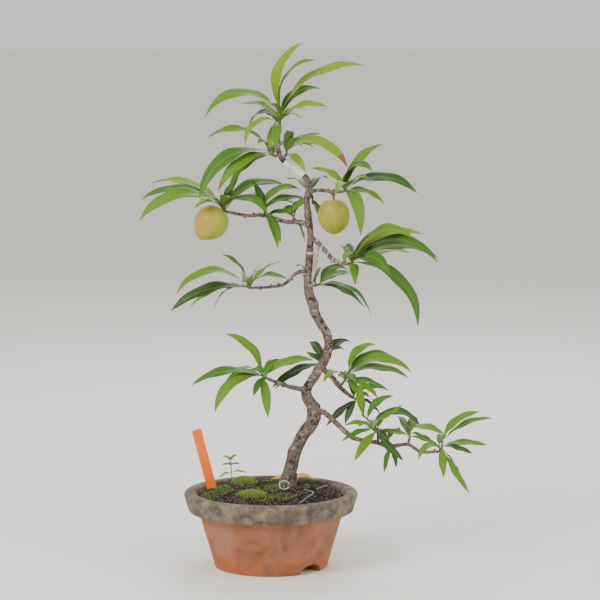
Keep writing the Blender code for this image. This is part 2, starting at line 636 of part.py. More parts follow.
def build_mass(name, growth, collection):
    """Fuse a mass's twigs, leaves and fruit by one Boolean union on a collection. The roots of
    the leaves crowd on the stem."""
    loose = new_collection(f"{name} pieces")
    twigs = [as_mesh(tube(f"{name} twig {i}", rows, collection if i == 0 else loose, 0))
             for i, rows in enumerate(growth["twigs"])]
    for i, leaf in enumerate(growth["leaves"]):
        leaf_object(f"{name} leaf {i}", leaf, loose)
    if name in FRUITS:
        middle, point, _, half_length, _ = FRUITS[name]
        fruit_object(f"{name} fruit", *FRUITS[name], loose)
        foot = stem_point(growth["twigs"][0], 0.4)
        inside = np.array(middle) - np.array(point) / np.linalg.norm(point) * half_length * 0.7
        rows = stem_rows(foot, (inside - foot) / np.linalg.norm(inside - foot), inside,
                         FRUIT_STALK_RADIUS, FRUIT_STALK_RADIUS, 1)
        as_mesh(tube(f"{name} stalk", rows, loose, 0))
    base = twigs[0]
    union = base.modifiers.new("Union", "BOOLEAN")
    union.operation = "UNION"
    union.operand_type = "COLLECTION"
    union.collection = loose
    union.solver = "MANIFOLD"
    base.name = name
    base = as_mesh(base, weld=False)
    base.name = name
    for piece in list(loose.objects):
        bpy.data.objects.remove(piece, do_unlink=True)
    bpy.data.collections.remove(loose)
    keep_largest_body(base)
    finish(base, "leaf")


def wall_radius(height):
    """Inner radius of the pot's straight wall at a height."""
    low = (FLOOR_RADIUS + FLOOR_ROUNDING, FLOOR_THICKNESS + FLOOR_ROUNDING)
    high = (RIM_RADIUS - RIM_WIDTH, POT_HEIGHT - RIM_ROUNDING)
    return low[0] + (high[0] - low[0]) * (height - low[1]) / (high[1] - low[1])


def build_pot(collection, cutters):
    band_foot = POT_HEIGHT - RIM_BAND_HEIGHT
    corner = FLOOR_THICKNESS + FLOOR_ROUNDING
    inner_lip = (RIM_RADIUS - RIM_WIDTH + RIM_ROUNDING, POT_HEIGHT - RIM_ROUNDING)
    outer_lip = (RIM_RADIUS - RIM_ROUNDING, POT_HEIGHT - RIM_ROUNDING)
    profile = [(0.0, FLOOR_THICKNESS)]
    profile += arc((FLOOR_RADIUS, corner), FLOOR_ROUNDING, -90, 0, 2)
    profile += arc(inner_lip, RIM_ROUNDING, 180, 90, 2)
    profile += arc(outer_lip, RIM_ROUNDING, 90, 0, 3)
    profile += arc((RIM_BAND_FOOT_RADIUS - 0.003, band_foot + 0.003), 0.003, 0, -90, 2)
    profile += [(SHOULDER_RADIUS + 0.0015, band_foot), (SHOULDER_RADIUS, band_foot - 0.0015)]
    profile += arc((BASE_RADIUS - BASE_ROUNDING, BASE_ROUNDING), BASE_ROUNDING, 0, -90, 1)
    profile += [(0.0, 0.0)]
    pot = turned("pot", profile, collection)
    length = BASE_RADIUS + 0.010 - NOTCH_INNER_RADIUS
    for i, heading in enumerate(NOTCH_DIRECTIONS):
        out = Vector(direction(heading, 0))
        bpy.ops.mesh.primitive_cylinder_add(vertices=20, radius=NOTCH_HALF_WIDTH, depth=length)
        notch = take_primitive(f"foot notch {i}", cutters)
        notch.data.transform(Matrix.Diagonal((NOTCH_HEIGHT / NOTCH_HALF_WIDTH, 1.0, 1.0, 1.0)))
        notch.data.transform(Matrix.Rotation(math.pi / 2, 4, "Y"))
        notch.rotation_euler = (0.0, 0.0, math.radians(heading))
        notch.location = out * (NOTCH_INNER_RADIUS + length / 2)
        boolean(pot, notch)
        bpy.ops.mesh.primitive_cylinder_add(vertices=12, radius=DRAIN_RADIUS, depth=0.04)
        drain = take_primitive(f"drain hole {i}", cutters)
        drain.location = out * DRAIN_DISTANCE + Vector((0.0, 0.0, 0.012))
        boolean(pot, drain)
    finish(pot, "pot")


def soil_profile(lift):
    """Profile of the soil, raised by lift at the top for the cutter that trims what stands on it."""
    bottom = FLOOR_THICKNESS + GAP
    corner = FLOOR_THICKNESS + FLOOR_ROUNDING
    rim = wall_radius(SOIL_WALL_LEVEL) - SOIL_SIDE_GAP
    top = [(0.0, SOIL_LEVEL), (SOIL_PLATEAU_RADIUS, SOIL_LEVEL), *SOIL_SHOULDER]
    top = [(radius, height + lift) for radius, height in top] + [(rim, SOIL_WALL_LEVEL + lift)]
    foot = arc((FLOOR_RADIUS, corner), FLOOR_ROUNDING - SOIL_SIDE_GAP, 0, -60, 2)
    return top + foot + [(FLOOR_RADIUS - 0.002, bottom), (0.0, bottom)]


def build_soil(collection, cutters):
    """The soil fills the pot. The cutter is the same form 0.3 mm higher."""
    soil = turned("soil", soil_profile(0.0), collection)
    finish(soil, "soil")
    cutter = turned("soil cutter", soil_profile(GAP), cutters)
    return as_mesh(cutter)


def soil_height(x, y):
    """Height of the soil's top at a place, read off its profile."""
    top = [point for point in soil_profile(0.0) if point[1] >= SOIL_WALL_LEVEL]
    radii = [point[0] for point in top]
    return float(np.interp(math.hypot(x, y), radii, [point[1] for point in top]))


def build_moss(collection, soil_cutter):
    for name, (x, y, half_x, half_y, height) in MOSS.items():
        bpy.ops.mesh.primitive_uv_sphere_add(segments=12, ring_count=8, radius=1.0)
        moss = take_primitive(name, collection)
        moss.data.transform(Matrix.Diagonal((half_x, half_y, height + MOSS_SINK, 1.0)))
        moss.location = (x, y, soil_height(x, y) - MOSS_SINK)
        boolean(moss, soil_cutter)
        finish(moss, "moss")


def build_label(collection, soil_cutter):
    bpy.ops.mesh.primitive_cube_add(size=1.0)
    label = take_primitive("label", collection)
    label.data.transform(Matrix.Diagonal((LABEL_WIDTH, LABEL_THICKNESS, LABEL_LENGTH, 1.0)))
    label.data.transform(Matrix.Translation((0.0, 0.0, LABEL_LENGTH / 2 - LABEL_SINK)))
    label.rotation_euler = (0.0, -math.radians(LABEL_LEAN), 0.0)
    label.location = (*LABEL_FOOT, soil_height(*LABEL_FOOT))
    boolean(label, soil_cutter)
    finish(label, "label")


def build_ground_trim(collection):
    """The wires and the fallen leaf that lie on the soil."""
    for name, places in TIE_WIRES.items():
        rows = [(x, y, soil_height(x, y) + TIE_WIRE_RADIUS + 2 * GAP, TIE_WIRE_RADIUS) for x, y in places]
        finish(tube(name, smooth(rows, 3), collection, 1), "wire")
    x, y = FALLEN_LEAF_ROOT
    leaf = {"root": np.array([x, y, SOIL_LEVEL + 0.003]), "heading": 168, "rise": 14, "arch": 28,
            "length": 0.060, "width": 0.016, "roll": 12, "sweep": 20}
    finish(leaf_object("fallen_leaf", leaf, collection), "old leaf")


def build_limbs(collection, cutters):
    """Trunk, wrap, leader and boughs. Boughs and dead wood are cut clear of the trunk."""
    limbs = {"trunk": smooth(TRUNK, 2)}
    trunk = as_mesh(tube("trunk", limbs["trunk"], collection))
    solid = bmesh.new()
    solid.from_mesh(trunk.data)
    everything = solid.verts[:] + solid.edges[:] + solid.faces[:]
    ground = (0.0, 0.0, SOIL_LEVEL + GAP)
    cut = bmesh.ops.bisect_plane(solid, geom=everything, plane_co=ground, plane_no=(0, 0, 1), clear_inner=True)
    edges = [part for part in cut["geom_cut"] if isinstance(part, bmesh.types.BMEdge)]
    bmesh.ops.contextual_create(solid, geom=edges)
    solid.to_mesh(trunk.data)
    solid.free()
    finish(trunk, "bark")
    wide = limbs["trunk"].copy()
    wide[:, 3] += TRUNK_SIDE_GAP
    cutter = as_mesh(tube("trunk cutter", wide, cutters))

    for name, rows in {**BOUGHS, "dead_stub": DEAD_STUB}.items():
        limbs[name] = smooth(rows, 2)
        bough = as_mesh(tube(name, limbs[name], collection, 1))
        boolean(bough, cutter)
        finish(bough, "dead wood" if name.startswith("dead") else "bark")

    start, end = np.array(SLEEVE_START), np.array(SLEEVE_END)
    along = (end - start) / np.linalg.norm(end - start)
    leader_foot = [(*(end + along * shift), LEADER_START_RADIUS) for shift in (0.0, 0.002)]
    limbs["leader"] = np.vstack([leader_foot[:1], smooth(leader_foot[1:] + list(LEADER), 3)])
    finish(tube("leader", limbs["leader"], collection, 1), "bark")
    rows = []
    for share in (0.0, 0.12, 0.35, 0.65, 0.88, 1.0):
        swell = math.sin(math.pi * share) ** 0.5 if 0.0 < share < 1.0 else 0.0
        radius = SLEEVE_END_RADIUS + (SLEEVE_RADIUS - SLEEVE_END_RADIUS) * swell
        rows.append((*(start + (end - start) * share + along * GAP * (1 - 2 * share)), radius))
    limbs["graft_wrap"] = np.array(rows)
    finish(tube("graft_wrap", rows, collection), "wrap")
    return limbs


def main():
    clear_scene()
    collection = new_collection("Japanese plum bonsai")
    cutters = new_collection("Cutters")
    build_pot(collection, cutters)
    soil_cutter = build_soil(collection, cutters)
    build_moss(collection, soil_cutter)
    build_label(collection, soil_cutter)
    build_ground_trim(collection)
    limbs = build_limbs(collection, cutters)
    for name, growth in grow(limbs).items():
        build_mass(name, growth, collection)
    for cutter in cutters.objects:
        cutter.hide_render = True
        cutter.display_type = "WIRE"


main()
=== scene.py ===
import math
import random

import bpy
import numpy as np
from mathutils import Matrix, Vector


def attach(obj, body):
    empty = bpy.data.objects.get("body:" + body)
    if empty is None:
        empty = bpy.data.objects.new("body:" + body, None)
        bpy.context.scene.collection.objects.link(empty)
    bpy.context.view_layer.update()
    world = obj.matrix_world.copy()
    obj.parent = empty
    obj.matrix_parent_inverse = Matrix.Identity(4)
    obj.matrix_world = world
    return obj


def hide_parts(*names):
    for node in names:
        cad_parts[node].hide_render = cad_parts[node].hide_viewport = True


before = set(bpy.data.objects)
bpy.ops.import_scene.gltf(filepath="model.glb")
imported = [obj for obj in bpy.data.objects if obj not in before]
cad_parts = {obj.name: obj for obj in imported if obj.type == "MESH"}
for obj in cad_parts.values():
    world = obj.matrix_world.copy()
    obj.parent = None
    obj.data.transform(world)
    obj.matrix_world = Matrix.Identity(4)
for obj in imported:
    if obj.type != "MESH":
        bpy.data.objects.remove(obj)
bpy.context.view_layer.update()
print("frame loaded:", len(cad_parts), "nodes")


# Finishes. Colours are linear, and every pattern reads the piece's own Object coordinates.

patterns = {"plainGloss": 0.3, "detail": 6.0, "blotchDetail": 8.0, "bumpStrength": 0.6}


def startFinish(name, roughness):
    # A new material: it gives back the material, its node tree and its Principled shader.
    finish = bpy.data.materials.new(name)
    finish.use_nodes = True
    shader = finish.node_tree.nodes["Principled BSDF"]
    shader.inputs["Roughness"].default_value = roughness
    return finish, finish.node_tree, shader


def plainFinish(name, colour, roughness, metallic=0.0):
    # One colour all over.
    finish, tree, shader = startFinish(name, roughness)
    shader.inputs["Base Color"].default_value = (*colour, 1.0)
    shader.inputs["Metallic"].default_value = metallic
    shader.inputs["Specular IOR Level"].default_value = patterns["plainGloss"]
    return finish


def addNoise(tree, scale, detail=patterns["detail"], distortion=0.0):
    # Cloudy noise from 0 to 1, read at the piece's Object coordinates times the scale.
    place = tree.nodes.new("ShaderNodeTexCoord")
    noise = tree.nodes.new("ShaderNodeTexNoise")
    noise.inputs["Scale"].default_value = scale
    noise.inputs["Detail"].default_value = detail
    noise.inputs["Distortion"].default_value = distortion
    tree.links.new(place.outputs["Object"], noise.inputs["Vector"])
    return noise.outputs["Fac"]


def addRamp(tree, value, stops):
    # Colour by value: it runs evenly from each stop's colour to the next; a stop is (place, colour).
    ramp = tree.nodes.new("ShaderNodeValToRGB")
    while len(ramp.color_ramp.elements) < len(stops):
        ramp.color_ramp.elements.new(1.0)
    for element, (place, colour) in zip(ramp.color_ramp.elements, stops):
        element.position = place
        element.color = (*colour, 1.0)
    tree.links.new(value, ramp.inputs["Fac"])
    return ramp.outputs["Color"]


def addMix(tree, share, first, second):
    # First colour times one minus the share, plus second colour times the share.
    mix = tree.nodes.new("ShaderNodeMix")
    mix.data_type = "RGBA"
    tree.links.new(share, mix.inputs["Factor"])
    tree.links.new(first, mix.inputs["A"])
    tree.links.new(second, mix.inputs["B"])
    return mix.outputs["Result"]


def addBump(tree, shader, value, strength, distance):
    # Tilts the shading as if the surface stood up by the value times the distance.
    bump = tree.nodes.new("ShaderNodeBump")
    bump.inputs["Strength"].default_value = strength
    bump.inputs["Distance"].default_value = distance
    tree.links.new(value, bump.inputs["Height"])
    tree.links.new(bump.outputs["Normal"], shader.inputs["Normal"])


def mottledFinish(name, stops, scale, roughness, bumpScale=0.0, bumpDepth=0.0005, distortion=0.0):
    # Colours that run into each other in blotches, with a fine bump where it has a scale.
    finish, tree, shader = startFinish(name, roughness)
    colour = addRamp(tree, addNoise(tree, scale, patterns["blotchDetail"], distortion), stops)
    tree.links.new(colour, shader.inputs["Base Color"])
    if bumpScale:
        addBump(tree, shader, addNoise(tree, bumpScale), patterns["bumpStrength"], bumpDepth)
    return finish


# Meshes. A patch is (points, triangles, slot of each triangle); a piece joins patches.

def ringAngles(count):
    # Even angles once round, from 0.
    return np.arange(count) * math.tau / count


def ringFaces(rows, cols):
    # Triangles of rows rings with cols points each, and a pole at either end.
    i, j = np.meshgrid(np.arange(rows - 1), np.arange(cols), indexing="ij")
    a, b = i * cols + j, i * cols + (j + 1) % cols
    walls = np.stack([a, b, b + cols, a, b + cols, a + cols], -1).reshape(-1, 3)
    k = np.arange(cols)
    after = (k + 1) % cols
    last = (rows - 1) * cols
    start = np.stack([np.full(cols, rows * cols), after, k], 1)
    end = np.stack([np.full(cols, rows * cols + 1), last + k, last + after], 1)
    return np.vstack([walls, start, end])


def ringPatch(rings, slots=None, flip=False):
    # Closed skin over rings, an array of rows x cols x 3, with a pole at the middle of either end ring;
    # slots gives each column's finish.
    rows, cols = rings.shape[:2]
    points = np.vstack([rings.reshape(-1, 3), rings[0].mean(0)[None], rings[-1].mean(0)[None]])
    faces = ringFaces(rows, cols)
    columns = np.zeros(cols, int) if slots is None else np.asarray(slots)
    marks = np.concatenate([np.repeat(np.tile(columns, rows - 1), 2), columns, columns])
    if flip:
        faces = faces[:, ::-1]
    return points, faces, marks


def sectionFrame(path):
    # Unit side and up directions along a path: side is square to the path and to the world axis
    # that the path follows least.
    along = np.gradient(path, axis=0)
    along /= np.linalg.norm(along, axis=1)[:, None]
    guide = np.eye(3)[np.argmin(np.abs(along).mean(0))]
    side = np.cross(guide, along)
    side /= np.linalg.norm(side, axis=1)[:, None]
    return side, np.cross(along, side)


def tubePatch(rows, around, relief=None, slot=0):
    # A round section carried along rows of x, y, z and radius: the radius times one plus the relief.
    rows = np.asarray(rows, float)
    side, up = sectionFrame(rows[:, :3])
    angle = ringAngles(around)
    size = np.repeat(rows[:, 3:4], around, 1)
    if relief is not None:
        size = size * (1 + relief)
    turn = np.cos(angle)[:, None] * side[:, None] + np.sin(angle)[:, None] * up[:, None]
    return ringPatch(rows[:, None, :3] + size[..., None] * turn, np.full(around, slot))


def turnedPatch(profile, around, ripple=None):
    # A profile of radius and height, from its lower pole outwards and up, turned about +Z: x is the
    # radius plus the ripple times the cosine, y the same times the sine.
    profile = np.asarray(profile, float)
    angle = ringAngles(around)
    radius = np.repeat(profile[:, :1], around, 1)
    if ripple is not None:
        radius = radius + ripple
    height = np.repeat(profile[:, 1:], around, 1)
    return ringPatch(np.stack([radius * np.cos(angle), radius * np.sin(angle), height], -1))


def makePiece(name, patches, finishes, nodes, values=None):
    # Joins patches into one smooth piece that stands for the nodes; values is its shade at each point.
    starts = np.cumsum([0] + [len(patch[0]) for patch in patches[:-1]])
    points = np.vstack([patch[0] for patch in patches])
    faces = np.vstack([patch[1] + start for patch, start in zip(patches, starts)])
    mesh = bpy.data.meshes.new(name)
    mesh.from_pydata(points.tolist(), [], faces.tolist())
    for finish in finishes:
        mesh.materials.append(finish)
    mesh.polygons.foreach_set("material_index", np.concatenate([patch[2] for patch in patches]))
    mesh.polygons.foreach_set("use_smooth", np.ones(len(faces), bool))
    if values is not None:
        mesh.attributes.new("shade", "FLOAT", "POINT").data.foreach_set("value", values)
    mesh.update()
    piece = bpy.data.objects.new(name, mesh)
    bpy.context.scene.collection.objects.link(piece)
    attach(piece, "root")
    if nodes:
        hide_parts(*nodes)
    return piece


scatter = {"tip": 0.6, "dip": 0.5}


def scatterPatch(places, sizes, shape, seed, slots, lean):
    # One small shape set at every place, turned at random and scaled by its size. It leans over: x and y
    # move by the height times the tip, and the height falls with x; lean 0 keeps it upright.
    rng = np.random.default_rng(seed)
    points, faces = shape
    turn = rng.uniform(0, math.tau, len(places))
    tip = rng.normal(0, scatter["tip"] * lean, (len(places), 2))
    cosine, sine = np.cos(turn)[:, None], np.sin(turn)[:, None]
    x = points[:, 0] * cosine - points[:, 1] * sine + points[:, 2] * tip[:, :1]
    y = points[:, 0] * sine + points[:, 1] * cosine + points[:, 2] * tip[:, 1:]
    z = np.repeat(points[None, :, 2], len(places), 0) - x * tip[:, :1] * scatter["dip"]
    spread = np.stack([x, y, z], -1) * sizes[:, None, :] + places[:, None, :]
    offsets = np.arange(len(places))[:, None, None] * len(points)
    allFaces = (faces[None] + offsets).reshape(-1, 3)
    return spread.reshape(-1, 3), allFaces, np.repeat(slots, len(faces))


# Growth. The same numbers, seed and order of draws as the solids have.

growth = {
    "gap": 0.0003, "seed": 11,
    # Leaf: widths and lengths in metres, angles and the turns that are tried in degrees.
    "leafSteps": 24, "petiole": 0.05, "petioleRadius": 0.0007,
    "widthFixed": 0.0050, "widthShare": 0.120, "widthVary": (0.92, 1.1),
    "sweepVary": (-14, 14), "headingVary": (-3, 3), "rollVary": (-8, 8),
    "turns": (0, 8, -8, 16, -16, 24, -24),
    # Room that a leaf keeps, and the rows and points near its root that may touch.
    "limbClearance": 0.0012, "leafClearance": 0.0034, "ownClearance": 0.0022,
    "untestedRows": 3, "sharedPoints": 40,
    # Stem: its radius and straight foot in metres, how far it bends, and the share that carries leaves.
    "stemRadius": 0.0017, "stemFoot": 0.0012, "stemBend": 0.4, "stemSwell": 1.15,
    "stemTopShare": 0.93, "stemLeafShare": 0.5,
    # Spurs: little side shoots with two leaves each.
    "spurRadius": 0.0011, "spurTaper": 0.8, "spurLength": 0.010, "spurFrom": 0.45, "spurShare": 0.35,
    "spurTurn": (-22, 22), "spurRise": (25, 50), "spurSpread": (40, 70),
    "spurLeaves": 2, "spurLeafFrom": 0.9, "spurLeafStep": 0.4,
    # The fruit's stalk.
    "stalkRadius": 0.0013, "stalkShare": 0.4,
}
spurLeafSizes = {"rise": (28, 55), "arch": (50, 80), "length": (0.042, 0.062), "roll": (-20, 35),
                 "sweep": (-15, 15)}

# Limbs: x, y, z and radius of the points that each curve runs through.
trunkRows = (
    (0.0195, 0.025, 0.084, 0.0112),
    (0.0200, 0.025, 0.093, 0.0098),
    (0.0265, 0.024, 0.124, 0.0080),
    (0.0365, 0.022, 0.151, 0.0080),
    (0.0505, 0.020, 0.173, 0.0084),
    (0.0510, 0.019, 0.188, 0.0078),
    (0.0425, 0.017, 0.209, 0.0063),
    (0.0550, 0.015, 0.232, 0.0058),
    (0.0675, 0.013, 0.254, 0.0054),
    (0.0685, 0.012, 0.277, 0.0054),
    (0.0560, 0.011, 0.301, 0.0055),
    (0.0470, 0.009, 0.328, 0.0060),
    (0.0450, 0.008, 0.350, 0.0052),
    (0.0465, 0.008, 0.376, 0.0046),
    (0.0475, 0.007, 0.400, 0.0039),
    (0.0450, 0.006, 0.424, 0.0043),
    (0.0430, 0.005, 0.442, 0.0037),
    (0.0455, 0.005, 0.456, 0.0040),
    (0.0440, 0.0045, 0.4665, 0.0040),
    (0.0395, 0.0040, 0.4720, 0.0040),
)
boughRows = {
    "bough_right_low": (
        (0.0510, 0.018, 0.184, 0.0038), (0.0640, 0.010, 0.185, 0.0034), (0.0800, 0.003, 0.172, 0.0031),
        (0.1000, -0.003, 0.156, 0.0030), (0.1280, -0.009, 0.151, 0.0025), (0.1430, -0.012, 0.147, 0.0028),
        (0.1640, -0.014, 0.150, 0.0021), (0.1800, -0.020, 0.142, 0.0020), (0.1990, -0.025, 0.143, 0.0017)),
    "bough_right_back": (
        (0.0600, 0.0145, 0.240, 0.0034), (0.0740, 0.0170, 0.227, 0.0030), (0.0830, 0.0180, 0.215, 0.0028),
        (0.0965, 0.0190, 0.2035, 0.0023)),
    "bough_left_low": (
        (0.0435, 0.017, 0.211, 0.0032), (0.0290, 0.010, 0.215, 0.0028), (0.0130, 0.000, 0.221, 0.0024),
        (-0.0060, -0.010, 0.230, 0.0019)),
    "bough_left_mid": (
        (0.0460, 0.008, 0.358, 0.0028), (0.0310, 0.003, 0.355, 0.0022), (0.0160, 0.000, 0.342, 0.0020),
        (0.0000, -0.002, 0.339, 0.0018), (-0.0230, -0.005, 0.338, 0.0016)),
    "bough_left_upper": (
        (0.0460, 0.006, 0.412, 0.0032), (0.0360, 0.005, 0.416, 0.0028), (0.0170, 0.006, 0.417, 0.0027),
        (-0.0070, 0.007, 0.424, 0.0023), (-0.0280, 0.007, 0.424, 0.0021), (-0.0500, 0.006, 0.428, 0.0019)),
    "bough_right_top": (
        (0.0450, 0.005, 0.453, 0.0026), (0.0600, -0.001, 0.455, 0.0022), (0.0750, -0.006, 0.453, 0.0021),
        (0.0850, -0.009, 0.454, 0.0019)),
    "bough_right_mid": (
        (0.0470, 0.007, 0.398, 0.0030), (0.0600, -0.001, 0.389, 0.0026), (0.0720, -0.007, 0.375, 0.0028),
        (0.0820, -0.011, 0.369, 0.0025), (0.0930, -0.015, 0.368, 0.0021)),
}
deadStubRows = (
    (0.0555, 0.001, 0.387, 0.0026), (0.0545, 0.000, 0.372, 0.0027), (0.0515, 0.000, 0.356, 0.0020),
    (0.0495, 0.001, 0.345, 0.0010))
wrapPlan = {"start": (0.0390, 0.0040, 0.4724), "end": (0.0165, 0.0010, 0.4895), "radius": 0.0058,
            "endRadius": 0.0044, "growthShares": (0.0, 0.12, 0.35, 0.65, 0.88, 1.0)}
leaderPlan = {
    "startRadius": 0.0034, "straight": 0.002, "finer": 1.5,
    "rows": ((0.0108, 0.0010, 0.4972, 0.0030), (0.0088, 0.0010, 0.5080, 0.0026),
             (0.0100, 0.0010, 0.5240, 0.0021)),
}

# Fruit: its middle, the direction of its pointed end, its sizes in metres and how strong its blush is.
fruitPlan = {
    "foliage_left_upper": {"middle": (-0.0705, -0.004, 0.4165), "point": (-0.62, -0.22, -0.75),
                           "halfWidth": 0.0203, "halfLength": 0.0215, "beak": 0.0035, "blush": 0.36},
    "foliage_fruit_right": {"middle": (0.0755, -0.0065, 0.4250), "point": (0.02, -0.05, -1.0),
                            "halfWidth": 0.0190, "halfLength": 0.0215, "beak": 0.0010, "blush": 0.10},
}


def fan(count, heading, rise, arch, length, roll=(40, 40)):
    # Leaves that open like a fan: every size runs evenly from its first to its last value.
    return {"count": count, "heading": heading, "rise": rise, "arch": arch, "length": length, "roll": roll}


def lone(heading, rise, arch, length, roll=40):
    # A fan of one leaf, whose sizes are single values.
    return fan(1, (heading,) * 2, (rise,) * 2, (arch,) * 2, (length,) * 2, (roll,) * 2)


# Masses: the limb, how far along it, the stem's far end, the count of spurs, and the fans.
massPlan = {
    "foliage_apex": ("leader", 1.0, (0.013, 0.000, 0.553), 2, (
        fan(2, (20, -25), (118, 108), (93, 109), (0.094, 0.090), (25, 40)),
        lone(-12, 68, 76, 0.124, 45),
        fan(2, (40, -35), (70, 42), (84, 60), (0.072, 0.066)),
        fan(2, (195, 155), (69, 54), (135, 75), (0.114, 0.064), (45, 30)),
        fan(3, (140, 255), (55, 15), (150, 110), (0.070, 0.054), (30, 20)))),
    "foliage_apex_left": ("leader", 0.42, (-0.005, 0.002, 0.511), 1, (
        lone(190, 53, 93, 0.080),
        fan(2, (130, 50), (100, 80), (25, 35), (0.045, 0.038), (60, 60)),
        fan(2, (205, 218), (16, 4), (90, 68), (0.120, 0.090)),
        fan(2, (182, 192), (-12, 8), (45, 80), (0.062, 0.052)))),
    "foliage_apex_right": ("leader", 0.20, (0.0172, 0.001, 0.5066), 2, (
        fan(2, (-20, 15), (35, 50), (102, 55), (0.092, 0.050), (50, 30)),
        fan(2, (300, 310), (95, -4), (20, 60), (0.026, 0.038), (10, 50)))),
    "foliage_left_upper": ("bough_left_upper", 1.0, (-0.061, 0.001, 0.440), 2, (
        fan(3, (200, 155), (36, 49), (93, 66), (0.112, 0.100), (45, 30)),
        fan(2, (30, -30), (63, 48), (5, 31), (0.046, 0.057)),
        lone(30, 56, 85, 0.104),
        fan(2, (300, 320), (100, 58), (60, 120), (0.036, 0.076)))),
    "foliage_left_upper_inner": ("bough_left_upper", 0.60, (-0.010, 0.005, 0.433), 1, (
        fan(2, (20, 35), (75, 36), (105, 52), (0.063, 0.062)),
        lone(150, 82, 35, 0.038),
        fan(2, (305, 300), (-30, -20), (50, 50), (0.054, 0.052), (20, 20)))),
    "foliage_left_upper_spur": ("bough_left_upper", 0.27, (0.023, 0.012, 0.426), 1, (
        fan(4, (30, 150), (55, 35), (50, 70), (0.040, 0.036)),
        lone(60, -35, 40, 0.040))),
    "foliage_right_top": ("bough_right_top", 1.0, (0.090, -0.010, 0.456), 2, (
        lone(150, 62, 66, 0.054),
        fan(2, (10, -45), (83, 105), (65, 150), (0.075, 0.068)),
        fan(2, (-15, 20), (44, 13), (90, 62), (0.096, 0.056)),
        lone(290, 14, 115, 0.084, 15))),
    "foliage_trunk_top": ("trunk", 0.868, (0.0500, 0.0140, 0.4370), 1, (
        fan(2, (48, 66), (-14, -38), (45, 30), (0.054, 0.046), (30, 20)),)),
    "foliage_fruit_right": ("bough_right_top", 0.74, (0.0745, -0.0065, 0.4485), 0, ()),
    "foliage_right_mid": ("bough_right_mid", 1.0, (0.098, -0.016, 0.377), 2, (
        lone(208, 105, 110, 0.086),
        fan(3, (-38, 45), (69, 46), (101, 50), (0.104, 0.088), (50, 30)),
        fan(3, (0, 48), (55, 19), (110, 36), (0.118, 0.116), (45, 30)),
        fan(2, (-55, -15), (30, 6), (73, 98), (0.093, 0.124), (50, 45)),
        fan(2, (280, 230), (0, 67), (60, 52), (0.046, 0.037), (10, 40)))),
    "foliage_right_spur": ("trunk", 0.600, (0.060, 0.010, 0.342), 1, (
        fan(2, (30, 50), (81, 31), (128, 47), (0.052, 0.064)),
        fan(2, (10, 25), (13, 0), (87, 50), (0.086, 0.075)))),
    "foliage_left_mid": ("bough_left_mid", 1.0, (-0.029, -0.005, 0.340), 2, (
        fan(2, (195, 210), (53, 86), (115, 70), (0.102, 0.055)),
        lone(325, 68, 26, 0.034),
        fan(3, (172, 135), (10, 8), (55, 60), (0.102, 0.078), (45, 30)))),
    "foliage_left_low": ("bough_left_low", 1.0, (-0.011, -0.013, 0.234), 2, (
        lone(170, 87, 80, 0.072),
        fan(2, (180, 200), (22, 12), (59, 91), (0.089, 0.081)),
        lone(150, 20, 76, 0.070),
        fan(2, (290, 240), (-60, -30), (15, 10), (0.051, 0.034), (10, 20)),
        fan(2, (25, 50), (40, 62), (55, 66), (0.074, 0.038)))),
    "foliage_trunk_back": ("trunk", 0.385, (0.062, 0.028, 0.243), 1, (
        fan(2, (193, 168), (-5, -14), (38, 31), (0.070, 0.068)),
        fan(2, (10, 35), (95, 85), (120, 130), (0.052, 0.045)),
        lone(150, 31, 20, 0.030))),
    "foliage_right_back": ("bough_right_back", 0.72, (0.095, 0.018, 0.237), 2, (
        fan(3, (28, 15), (88, 26), (100, 62), (0.054, 0.080), (30, 40)),
        lone(-5, 56, 104, 0.089),
        fan(3, (15, -50), (-5, 0), (28, 74), (0.056, 0.040), (30, 20)))),
    "foliage_right_back_tip": ("bough_right_back", 1.0, (0.106, 0.020, 0.200), 1, (
        fan(2, (190, 215), (-30, -50), (20, 20), (0.050, 0.034)),
        fan(2, (60, 10), (20, -5), (60, 60), (0.048, 0.044)))),
    "foliage_low_inner": ("bough_right_low", 0.47, (0.109, -0.015, 0.187), 2, (
        fan(2, (150, 30), (64, 75), (-40, 80), (0.044, 0.048)),
        fan(2, (-25, 20), (14, 53), (-30, 122), (0.048, 0.075)),
        fan(3, (170, 230), (24, -27), (48, 20), (0.036, 0.052)),
        lone(-40, -44, -17, 0.050))),
    "foliage_low_mid": ("bough_right_low", 0.74, (0.163, -0.012, 0.175), 1, (
        fan(2, (0, -10), (107, 24), (57, 64), (0.046, 0.046)),
        fan(2, (30, 160), (-14, 16), (20, 19), (0.044, 0.038)))),
    "foliage_low_hanging": ("bough_right_low", 0.63, (0.146, -0.021, 0.151), 1, (
        fan(2, (222, 185), (2, -70), (89, 12), (0.060, 0.034)),
        fan(2, (320, 300), (-56, -13), (31, 61), (0.028, 0.036), (20, 20)))),
    "foliage_low_tip": ("bough_right_low", 1.0, (0.205, -0.025, 0.157), 1, (
        fan(2, (10, -10), (74, 56), (72, 55), (0.062, 0.072)),
        fan(2, (0, 30), (12, -4), (26, 25), (0.055, 0.044)),
        fan(2, (-80, 25), (-75, -47), (0, 8), (0.036, 0.042), (10, 20)),
        lone(-10, -60, -6, 0.063),
        fan(2, (160, 215), (45, 53), (44, 130), (0.040, 0.044)))),
}


def smoothRows(rows, perSpan):
    # Catmull-Rom curve through the rows: each span is a cubic that follows its neighbours' directions.
    rows = np.array(rows, dtype=float)
    ends = np.vstack([2 * rows[0] - rows[1], rows, 2 * rows[-1] - rows[-2]])
    t = np.arange(perSpan) / perSpan
    pieces = []
    for a, b, c, d in zip(ends, ends[1:], ends[2:], ends[3:]):
        bends = np.outer(t ** 2, 2 * a - 5 * b + 4 * c - d) + np.outer(t ** 3, 3 * b - a - 3 * c + d)
        pieces.append(b + 0.5 * (np.outer(t, c - a) + bends))
    return np.vstack(pieces + [rows[-1:]])


